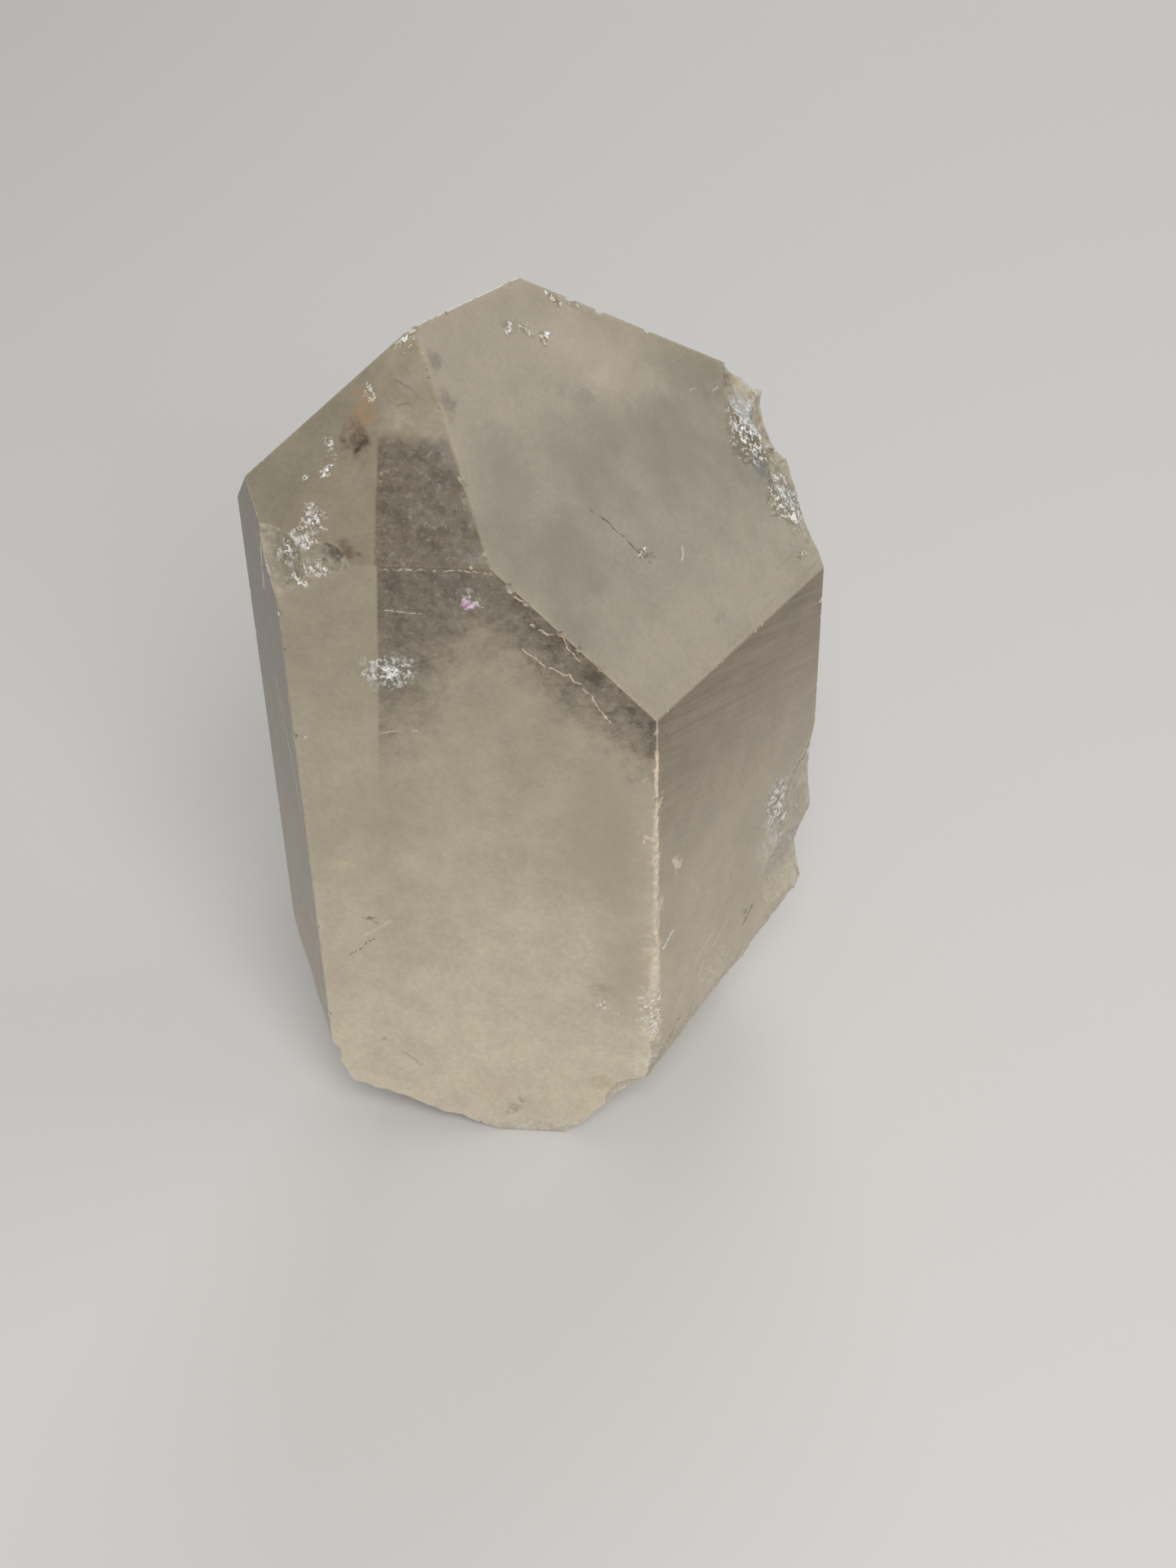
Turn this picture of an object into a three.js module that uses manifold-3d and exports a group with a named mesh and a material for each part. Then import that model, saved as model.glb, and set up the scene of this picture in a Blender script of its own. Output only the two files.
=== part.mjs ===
// A natural quartz crystal: a six-sided prism with a slanting cap of rhombohedral faces, broken off at
// its foot and chipped on its shoulders. It is one solid that stands on its broken foot.
// Millimetres and degrees. The crystal's long axis is +Z. The origin is under the middle of the crystal,
// on the surface that it stands on. An azimuth of 0 faces the front, -Y, and 90 faces the right, +X.
// A face's rise is how far its outward normal tips up from level. Its distance is from the origin.

import * as THREE from 'three';
import { mergeVertices } from 'three/addons/utils/BufferGeometryUtils.js';
import Module from 'manifold-3d';

const wasm = await Module();
wasm.setup();

// Driving dimensions. Quartz fixes every angle of its grown faces, so only their distances are free.
const CAP_RISE = 38.2;
const PRISM_TURN = 60;

// How far each side of the prism stands from the axis, going round from the front to the right.
const PRISM_DISTANCES = [19.7, 20.0, 27.7, 19.7, 17.9, 29.8];

// Where the plane of each cap face crosses the axis. Two of the six cap faces never grew.
const CAP_FACES = [
  { name: 'front', azimuth: 0, crossing: 98.2 },
  { name: 'great right', azimuth: 60, crossing: 82.1 },
  { name: 'back', azimuth: 180, crossing: 96.9 },
  { name: 'back left', azimuth: 240, crossing: 98.1 },
];

// The top ridge is worn to a narrow, flatter face on its back left side.
const RIDGE_FACE = { azimuth: 232, rise: 52, distance: 73.8 };

// The flat breaks that run across the foot. Each cuts off all that lies beyond it.
const FOOT_BREAKS = [
  { name: 'under the right side', azimuth: 70.6, rise: -46, distance: 5.5 },
  { name: 'bevel on the right side', azimuth: 62, rise: -18, distance: 14.8 },
  { name: 'shallow, at the front left', azimuth: -48, rise: -60, distance: 8.7 },
  { name: 'under the back', azimuth: 196, rise: -50, distance: 8.6 },
  { name: 'back right corner', azimuth: 128, rise: -38, distance: 13.5 },
];

// The lower left corner broke out in a step: a slanting roof and a steep inner wall.
const CORNER_BREAK = {
  roof: { azimuth: 240.6, rise: -34.8, distance: 1.6 },
  wall: { azimuth: 262, rise: -16, distance: 15.6 },
};

// Shell-shaped scars where flakes came off. Each is a bowl of the given width and depth, centred at a
// point on the surface and pressed in against the direction that it faces.
const SCARS = [
  { name: 'left shoulder', at: [-22.6, -19.4, 72.8], azimuth: -24, rise: 16, width: 8.6, depth: 1.3 },
  { name: 'left shoulder, inner', at: [-18.4, -19.5, 73.4], azimuth: -6, rise: 22, width: 5.2, depth: 0.7 },
  { name: 'right shoulder, top', at: [18.4, 16.1, 72.4], azimuth: 96, rise: 24, width: 7.2, depth: 1.8 },
  { name: 'right shoulder, upper', at: [21.2, 16.4, 68.6], azimuth: 100, rise: 14, width: 7.0, depth: 1.8 },
  { name: 'right shoulder, middle', at: [22.2, 15.4, 66.8], azimuth: 104, rise: 8, width: 4.4, depth: 2.8 },
  { name: 'right shoulder, lower', at: [24.9, 10.8, 61.4], azimuth: 84, rise: 26, width: 6.0, depth: 0.4 },
  { name: 'right edge, over the shelf', at: [27.4, 7.6, 29.2], azimuth: 84, rise: 4, width: 9.0, depth: 0.35 },
  { name: 'right edge, under the shelf', at: [27.2, 7.2, 19.6], azimuth: 84, rise: -4, width: 12.0, depth: 1.8 },
  { name: 'front foot, right', at: [9.4, -19.6, 7.6], azimuth: 10, rise: -42, width: 5.4, depth: 0.9 },
  { name: 'back foot', at: [3.0, 19.6, 12.0], azimuth: 178, rise: -24, width: 15.0, depth: 2.0 },
  { name: 'back left edge', at: [-9.4, 19.6, 47.0], azimuth: 208, rise: 6, width: 10.0, depth: 1.1 },
];

const BLOCK_SIZE = 260;
const SCAR_SEGMENTS_ROUND = 26;
const SCAR_SEGMENTS_DOWN = 18;

/** The unit vector that faces the given azimuth and tips up by the given rise. */
function facing(azimuth, rise) {
  const turn = THREE.MathUtils.degToRad(azimuth);
  const tip = THREE.MathUtils.degToRad(rise);
  const level = Math.cos(tip);
  return new THREE.Vector3(Math.sin(turn) * level, -Math.cos(turn) * level, Math.sin(tip));
}

/** A closed three.js geometry as a solid that can be cut and joined. */
function toSolid(geometry) {
  const bare = geometry.clone();
  bare.deleteAttribute('normal');
  bare.deleteAttribute('uv');
  const merged = mergeVertices(bare);
  return new wasm.Manifold(new wasm.Mesh({
    numProp: 3,
    vertProperties: new Float32Array(merged.attributes.position.array),
    triVerts: new Uint32Array(merged.index.array),
  }));
}

/** A solid as a three.js geometry. */
function toGeometry(solid) {
  const mesh = solid.getMesh();
  const geometry = new THREE.BufferGeometry();
  geometry.setAttribute('position', new THREE.BufferAttribute(new Float32Array(mesh.vertProperties), 3));
  geometry.setIndex(new THREE.BufferAttribute(new Uint32Array(mesh.triVerts), 1));
  geometry.computeVertexNormals();
  return geometry;
}

/** A block that fills everything beyond a plane, near the crystal. */
function blockBeyond(normal, distance) {
  const block = new THREE.BoxGeometry(BLOCK_SIZE, BLOCK_SIZE, BLOCK_SIZE);
  block.translate(0, 0, BLOCK_SIZE / 2 + distance);
  block.applyQuaternion(new THREE.Quaternion().setFromUnitVectors(new THREE.Vector3(0, 0, 1), normal));
  return toSolid(block);
}

/** The solid as it is left after everything beyond a face has gone. */
function cutAtFace(solid, azimuth, rise, distance) {
  return solid.subtract(blockBeyond(facing(azimuth, rise), distance));
}

/** The six-sided prism, standing on the ground. */
function growPrism() {
  const rough = new THREE.BoxGeometry(BLOCK_SIZE / 2, BLOCK_SIZE / 2, BLOCK_SIZE / 2);
  rough.translate(0, 0, BLOCK_SIZE / 4);
  return PRISM_DISTANCES.reduce(
    (solid, distance, side) => cutAtFace(solid, side * PRISM_TURN, 0, distance),
    toSolid(rough),
  );
}

/** Cuts the slanting cap faces on the prism, and the worn ridge between them. */
function growCap(prism) {
  const crossingToDistance = Math.sin(THREE.MathUtils.degToRad(CAP_RISE));
  const capped = CAP_FACES.reduce(
    (solid, face) => cutAtFace(solid, face.azimuth, CAP_RISE, face.crossing * crossingToDistance),
    prism,
  );
  return cutAtFace(capped, RIDGE_FACE.azimuth, RIDGE_FACE.rise, RIDGE_FACE.distance);
}

/** Breaks the foot off along its flat breaks and its stepped corner. */
function breakFoot(crystal) {
  const broken = FOOT_BREAKS.reduce(
    (solid, cut) => cutAtFace(solid, cut.azimuth, cut.rise, cut.distance),
    crystal,
  );
  const { roof, wall } = CORNER_BREAK;
  const beyondRoof = blockBeyond(facing(roof.azimuth, roof.rise), roof.distance);
  const beyondWall = blockBeyond(facing(wall.azimuth, wall.rise), wall.distance);
  return broken.subtract(beyondRoof.intersect(beyondWall));
}

/** The ball whose cap is a scar's bowl. */
function scarBall(scar) {
  const radius = (scar.width * scar.width / 4 + scar.depth * scar.depth) / (2 * scar.depth);
  const ball = new THREE.SphereGeometry(radius, SCAR_SEGMENTS_ROUND, SCAR_SEGMENTS_DOWN);
  const out = facing(scar.azimuth, scar.rise);
  ball.applyQuaternion(new THREE.Quaternion().setFromUnitVectors(new THREE.Vector3(0, 1, 0), out));
  const centre = new THREE.Vector3(...scar.at).addScaledVector(out, radius - scar.depth);
  ball.translate(centre.x, centre.y, centre.z);
  return toSolid(ball);
}

/** Takes the flakes off the edges and shoulders. */
function strikeScars(crystal) {
  return SCARS.reduce((solid, scar) => solid.subtract(scarBall(scar)), crystal);
}

const group = new THREE.Group();

const crystal = new THREE.Mesh(
  toGeometry(strikeScars(breakFoot(growCap(growPrism())))),
  new THREE.MeshStandardMaterial({ color: 0xa8a492, roughness: 0.2, metalness: 0, flatShading: true }),
);
crystal.name = 'quartz_crystal';
group.add(crystal);

export default group;
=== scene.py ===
"""A natural quartz crystal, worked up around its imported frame.

The crystal is cut from a block. Its grown faces come first, then their softened edges and the cracks, the
breaks at its foot, the nicks along its edges, the stepped corner, the bruised edge and the scars of its
flakes. It is worked in millimetres and brought to metres at the end.

An azimuth of 0 faces the front, -Y, and 90 faces the right, +X. A rise tips a direction up from level.
"""

import logging
import math
import random
from dataclasses import dataclass
from enum import Enum

import bpy
from mathutils import Euler, Matrix, Vector


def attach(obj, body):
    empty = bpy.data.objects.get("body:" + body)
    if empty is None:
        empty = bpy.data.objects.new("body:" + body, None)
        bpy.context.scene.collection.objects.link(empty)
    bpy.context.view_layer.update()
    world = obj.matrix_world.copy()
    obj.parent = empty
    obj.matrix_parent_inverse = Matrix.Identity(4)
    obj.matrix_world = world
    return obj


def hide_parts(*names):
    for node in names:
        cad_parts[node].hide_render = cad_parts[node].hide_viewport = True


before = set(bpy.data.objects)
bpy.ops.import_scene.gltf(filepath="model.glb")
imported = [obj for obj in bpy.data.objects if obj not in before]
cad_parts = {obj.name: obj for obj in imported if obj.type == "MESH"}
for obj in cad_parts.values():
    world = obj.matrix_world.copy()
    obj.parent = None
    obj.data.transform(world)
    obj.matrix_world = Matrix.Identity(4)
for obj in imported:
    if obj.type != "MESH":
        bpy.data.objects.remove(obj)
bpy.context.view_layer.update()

NODE = "quartz_crystal"
MILLIMETRE = 0.001
LOG = logging.getLogger("quartz")

Point = tuple[float, float, float]
Colour = tuple[float, float, float]
Edge = tuple[Vector, Vector]
Socket = bpy.types.NodeSocket
Feed = Socket | float | tuple | None

OPAQUE = (1.0,)
HALF = (0.5, 0.5, 0.5)
MEASURES = ("DOT_PRODUCT", "LENGTH", "DISTANCE")


@dataclass(frozen=True)
class Facing:
    """A direction, as an azimuth and a rise in degrees."""

    azimuth: float
    rise: float = 0.0

    def vector(self) -> Vector:
        """The unit vector of the direction."""
        turn, tip = math.radians(self.azimuth), math.radians(self.rise)
        return Vector((math.sin(turn) * math.cos(tip), -math.cos(turn) * math.cos(tip), math.sin(tip)))

    def turn_up_to(self) -> Euler:
        """The rotation that turns +Z to the direction."""
        return self.vector().to_track_quat("Z", "Y").to_euler()


@dataclass(frozen=True)
class Relief:
    """How rough a broken surface is: a coarse swell and a fine hackle, in millimetres."""

    swell: float
    swell_size: float
    hackle: float
    hackle_size: float


SHELLY = Relief(swell=0.20, swell_size=2.6, hackle=0.10, hackle_size=0.55)
CRAGGY = Relief(swell=1.10, swell_size=6.5, hackle=0.30, hackle_size=1.1)
GRAINY = Relief(swell=0.35, swell_size=1.6, hackle=0.22, hackle_size=0.45)


@dataclass(frozen=True)
class Break:
    """A rough break that takes off all that lies beyond a plane.

    centre is the middle of the broken patch, and span its width and height, in millimetres.
    """

    name: str
    facing: Facing
    distance: float
    centre: Point
    span: tuple[float, float]
    relief: Relief = CRAGGY
    step: float = 0.5
    thickness: float = 40.0


@dataclass(frozen=True)
class Scar:
    """The shell-shaped bowl that a flake left: its middle, the way it faces, its width and its depth."""

    name: str
    at: Point
    facing: Facing
    width: float
    depth: float
    relief: Relief = SHELLY


@dataclass(frozen=True)
class Crack:
    """An open crack in a face: the points that it runs through, and the width of its mouth."""

    name: str
    facing: Facing
    points: tuple[Point, ...]
    width: float


class Workbench:
    """The few operations that every cut on the crystal is made of."""

    @staticmethod
    def clear_selection() -> None:
        """Deselects everything."""
        bpy.ops.object.select_all(action="DESELECT")

    @staticmethod
    def take(piece: bpy.types.Object) -> None:
        """Selects a piece alone and makes it the active one.

        Args:
            piece: The piece.
        """
        Workbench.clear_selection()
        piece.select_set(True)
        bpy.context.view_layer.objects.active = piece

    @staticmethod
    def settle(piece: bpy.types.Object) -> None:
        """Moves a piece's place, turn and size into its mesh."""
        Workbench.take(piece)
        bpy.ops.object.transform_apply(location=True, rotation=True, scale=True)

    @staticmethod
    def roughen(piece: bpy.types.Object, relief: Relief) -> None:
        """Pushes a surface in and out along its normals, coarsely and then finely.

        Args:
            piece: The piece, with its place already in its mesh.
            relief: How rough it becomes.
        """
        layers = (
            ("swell", "CLOUDS", relief.swell, relief.swell_size),
            ("hackle", "STUCCI", relief.hackle, relief.hackle_size),
        )
        Workbench.take(piece)
        for name, kind, height, size in layers:
            texture = bpy.data.textures.new(f"{piece.name}_{name}", kind)
            texture.noise_scale = size
            if kind == "CLOUDS":
                texture.noise_type = "HARD_NOISE"
                texture.noise_depth = 2
            push = piece.modifiers.new(name, "DISPLACE")
            push.texture = texture
            push.texture_coords = "LOCAL"
            push.strength = height
            push.mid_level = 0.5
            bpy.ops.object.modifier_apply(modifier=name)

    @staticmethod
    def cut(body: bpy.types.Object, cutter: bpy.types.Object, operation: str = "DIFFERENCE") -> None:
        """Takes a cutter out of a body, or keeps what they share, and throws the cutter away.

        Args:
            body: The piece that is cut.
            cutter: The closed piece that cuts it.
            operation: The Boolean modifier's operation.
        """
        Workbench.take(body)
        modifier = body.modifiers.new("cut", "BOOLEAN")
        modifier.object = cutter
        modifier.operation = operation
        modifier.solver = "MANIFOLD"
        modifier.material_mode = "TRANSFER"
        bpy.ops.object.modifier_apply(modifier="cut")
        bpy.data.objects.remove(cutter)


class Crystal:
    """The crystal's shape, from the rough block to the last nick."""

    def __init__(
        self, sizes: "CrystalSizes", grown: bpy.types.Material, broken: bpy.types.Material
    ) -> None:
        """Keeps the sizes and the two finishes.

        Args:
            sizes: Where every face, break and scar lies.
            grown: The finish of the grown faces.
            broken: The finish of the broken surfaces.
        """
        self.sizes = sizes
        self.grown = grown
        self.broken = broken
        self.chance = random.Random(sizes.seed)
        self.piece: bpy.types.Object | None = None

    def build(self) -> bpy.types.Object:
        """Makes the crystal.

        Returns:
            The finished piece, in metres, with its place in its mesh.
        """
        self.grow_faces()
        edges = self.list_edges()
        self.soften_edges()
        self.divide_faces()
        self.open_cracks()
        self.break_foot()
        self.nick_edges(edges + self.list_rim())
        self.break_corner()
        self.bruise_edge()
        self.strike_scars()
        self.bring_to_metres()
        return self.piece

    def grow_faces(self) -> None:
        """Bisects a block along every grown face."""
        Workbench.clear_selection()
        block = self.sizes.block
        bpy.ops.mesh.primitive_cube_add(size=block, location=(0, 0, block / 2))
        self.piece = bpy.context.object
        self.piece.name = "crystal"
        self.piece.data.materials.append(self.grown)
        Workbench.settle(self.piece)
        bpy.ops.object.mode_set(mode="EDIT")
        for facing, distance in self.sizes.grown_faces():
            normal = facing.vector()
            bpy.ops.mesh.select_all(action="SELECT")
            bpy.ops.mesh.bisect(
                plane_co=normal * distance, plane_no=normal, use_fill=True, clear_outer=True,
            )
        bpy.ops.object.mode_set(mode="OBJECT")

    def list_edges(self) -> list[Edge]:
        """Lists the edges between grown faces, above the foot.

        Returns:
            The two ends of every edge.
        """
        mesh = self.piece.data
        ends = [[mesh.vertices[i].co.copy() for i in edge.vertices] for edge in mesh.edges]
        ends.sort(key=lambda pair: tuple(round(c, 3) for c in (*pair[0], *pair[1])))
        return [(start, end) for start, end in ends if max(start.z, end.z) > self.sizes.foot_height]

    def list_rim(self) -> list[Edge]:
        """The two ends of every straight reach of the crumbled rim along the foot's front."""
        points = [Vector(point) for point in self.sizes.rim]
        return list(zip(points, points[1:])) * self.sizes.rim_passes

    def soften_edges(self) -> None:
        """Rounds the edges between grown faces by the little that handling has."""
        Workbench.take(self.piece)
        bpy.ops.object.mode_set(mode="EDIT")
        bpy.ops.mesh.select_all(action="SELECT")
        bpy.ops.mesh.bevel(offset=self.sizes.edge_round, segments=1, affect="EDGES")
        bpy.ops.object.mode_set(mode="OBJECT")

    def divide_faces(self) -> None:
        """Divides the great faces into small flat cells, so that every later cut meets a small polygon."""
        cell = self.sizes.cell
        half = self.sizes.block / 2
        Workbench.take(self.piece)
        bpy.ops.object.mode_set(mode="EDIT")
        for axis in (Vector((1, 0, 0)), Vector((0, 1, 0)), Vector((0, 0, 1))):
            for step in range(round(-half / cell), round(2 * half / cell)):
                bpy.ops.mesh.select_all(action="SELECT")
                bpy.ops.mesh.bisect(plane_co=axis * (step + self.sizes.cell_offset) * cell, plane_no=axis)
        bpy.ops.object.mode_set(mode="OBJECT")

    def rough_slab(self, cut: Break) -> bpy.types.Object:
        """A slab whose near side is a rough break.

        Args:
            cut: The break.

        Returns:
            The closed slab, which fills what lies beyond the break.
        """
        normal = cut.facing.vector()
        centre = Vector(cut.centre)
        centre += normal * (cut.distance - centre.dot(normal))
        wide, high = cut.span
        Workbench.clear_selection()
        bpy.ops.mesh.primitive_grid_add(
            x_subdivisions=round(wide / cut.step), y_subdivisions=round(high / cut.step), size=1,
            location=centre, rotation=cut.facing.turn_up_to(),
        )
        slab = bpy.context.object
        slab.name = cut.name
        slab.scale = (wide, high, 1)
        slab.data.materials.append(self.broken)
        Workbench.settle(slab)
        Workbench.roughen(slab, cut.relief)
        bpy.ops.object.mode_set(mode="EDIT")
        bpy.ops.mesh.select_all(action="SELECT")
        bpy.ops.mesh.extrude_region_move(TRANSFORM_OT_translate={"value": normal * cut.thickness})
        bpy.ops.mesh.select_all(action="SELECT")
        bpy.ops.mesh.normals_make_consistent(inside=False)
        bpy.ops.object.mode_set(mode="OBJECT")
        return slab

    def break_foot(self) -> None:
        """Breaks the foot off along each of its rough breaks."""
        for cut in self.sizes.foot_breaks:
            Workbench.cut(self.piece, self.rough_slab(cut))

    def break_corner(self) -> None:
        """Steps the lower left corner back: a slanting roof over a steep inner wall."""
        step = self.rough_slab(self.sizes.corner_roof)
        Workbench.cut(step, self.rough_slab(self.sizes.corner_wall), operation="INTERSECT")
        Workbench.cut(self.piece, step)

    def bruise_edge(self) -> None:
        """Crushes the front right edge to a narrow rough band."""
        Workbench.cut(self.piece, self.rough_slab(self.sizes.bruised_edge))

    def scar_ball(self, scar: Scar) -> bpy.types.Object:
        """The rippled ball whose pole presses a scar's bowl into the crystal.

        Args:
            scar: The scar.

        Returns:
            The closed ball in its place.
        """
        radius = (scar.width ** 2 / 4 + scar.depth ** 2) / (2 * scar.depth)
        Workbench.clear_selection()
        bpy.ops.mesh.primitive_uv_sphere_add(
            segments=self.sizes.ball_segments, ring_count=self.sizes.ball_rings, radius=radius,
        )
        ball = bpy.context.object
        ball.name = scar.name
        ball.data.materials.append(self.broken)
        self.ripple(ball, radius, scar.width)
        out = scar.facing.vector()
        ball.rotation_euler = scar.facing.turn_up_to()
        ball.location = Vector(scar.at) + out * (radius - scar.depth)
        Workbench.settle(ball)
        Workbench.roughen(ball, scar.relief)
        return ball

    def ripple(self, ball: bpy.types.Object, radius: float, width: float) -> None:
        """Raises the rings that a blow leaves round the pole of a scar's ball.

        Args:
            ball: The ball, with its lower pole on its -Z side.
            radius: Its radius.
            width: The width of the scar that it makes.
        """
        spacing = self.sizes.ripple_spacing
        mesh = ball.data
        for ring in range(1, int(width / 2 / spacing)):
            near, far = ring * spacing, (ring + 0.5) * spacing
            for vertex in mesh.vertices:
                reach = math.hypot(vertex.co.x, vertex.co.y)
                vertex.select = vertex.co.z < 0 and near <= reach < far
            Workbench.take(ball)
            bpy.ops.object.mode_set(mode="EDIT")
            bpy.ops.transform.shrink_fatten(value=self.sizes.ripple_height)
            bpy.ops.mesh.select_all(action="DESELECT")
            bpy.ops.object.mode_set(mode="OBJECT")

    def strike_scars(self) -> None:
        """Takes the flakes off."""
        for scar in self.sizes.scars:
            Workbench.cut(self.piece, self.scar_ball(scar))

    def nick_edges(self, edges: list[Edge]) -> None:
        """Picks small bits out of the edges, at chance places and where the wear is known.

        Args:
            edges: The ends of the edges.
        """
        clearance = self.sizes.nick_clearance
        spots = [(Vector(place), reach) for place, reach in self.sizes.known_nicks]
        for start, end in edges:
            spots += self.chance_nicks(start, end)
        nicks = []
        for turn, (place, reach) in enumerate(spots):
            if all((place - other).length > clearance * (reach + taken) for other, taken in spots[:turn]):
                nicks.append(self.nick(place, reach))
        Workbench.clear_selection()
        for nick in nicks:
            nick.select_set(True)
        bpy.context.view_layer.objects.active = nicks[0]
        bpy.ops.object.join()
        Workbench.cut(self.piece, nicks[0])

    def chance_nicks(self, start: Vector, end: Vector) -> list[tuple[Vector, float]]:
        """Picks the nicks along one edge by chance, most of them small.

        Args:
            start: Where the edge starts.
            end: Where it ends.

        Returns:
            The place and the rough radius of every nick.
        """
        sizes = self.sizes
        length = (end - start).length
        along = self.chance.uniform(sizes.nick_margin, sizes.nick_gap)
        spots = []
        while along < length - sizes.nick_margin:
            reach = sizes.nick_small + (sizes.nick_large - sizes.nick_small) * self.chance.random() ** 3
            spots.append((start.lerp(end, along / length), reach))
            along += reach * sizes.nick_spread + self.chance.expovariate(1 / sizes.nick_gap)
        return spots

    def nick(self, place: Vector, reach: float) -> bpy.types.Object:
        """One small faceted cutter, stretched and turned by chance.

        Args:
            place: The point on the edge.
            reach: The cutter's rough radius.

        Returns:
            The cutter in its place.
        """
        Workbench.clear_selection()
        bpy.ops.mesh.primitive_ico_sphere_add(subdivisions=1, radius=reach, location=place)
        nick = bpy.context.object
        nick.scale = [self.chance.uniform(*self.sizes.nick_stretch) for _ in range(3)]
        nick.rotation_euler = [self.chance.uniform(0, math.pi) for _ in range(3)]
        nick.data.materials.append(self.broken)
        Workbench.settle(nick)
        return nick

    def open_cracks(self) -> None:
        """Cuts the open cracks in the faces as fine V-shaped grooves."""
        for crack in self.sizes.cracks:
            for start, end in zip(crack.points, crack.points[1:]):
                self.groove(Vector(start), Vector(end), crack)

    def groove(self, start: Vector, end: Vector, crack: Crack) -> None:
        """Cuts one straight reach of a crack.

        Args:
            start: Where it starts.
            end: Where it ends.
            crack: The crack that it belongs to.
        """
        run = end - start
        across = run.cross(crack.facing.vector()).normalized()
        deep = across.cross(run).normalized()
        axes = Matrix((run.normalized(), across, deep)).transposed()
        turn = axes @ Matrix.Rotation(math.pi / 4, 3, "X")
        Workbench.clear_selection()
        bpy.ops.mesh.primitive_cube_add(size=1, location=(start + end) / 2, rotation=turn.to_euler())
        cutter = bpy.context.object
        cutter.scale = (run.length * self.sizes.crack_overlap, crack.width, crack.width)
        cutter.data.materials.append(self.broken)
        Workbench.settle(cutter)
        Workbench.cut(self.piece, cutter)

    def bring_to_metres(self) -> None:
        """Turns every face outwards, scales the crystal to metres and sets its shading."""
        Workbench.take(self.piece)
        bpy.ops.object.mode_set(mode="EDIT")
        bpy.ops.mesh.select_all(action="SELECT")
        bpy.ops.mesh.normals_make_consistent(inside=False)
        bpy.ops.object.mode_set(mode="OBJECT")
        self.piece.scale = (MILLIMETRE, MILLIMETRE, MILLIMETRE)
        Workbench.settle(self.piece)
        bpy.ops.object.shade_smooth_by_angle(angle=math.radians(self.sizes.crease))
        bpy.ops.object.mode_set(mode="EDIT")
        bpy.ops.mesh.select_all(action="DESELECT")
        self.piece.active_material_index = 0
        bpy.ops.object.material_slot_select()
        bpy.ops.mesh.faces_shade_flat()
        bpy.ops.object.mode_set(mode="OBJECT")


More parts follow.
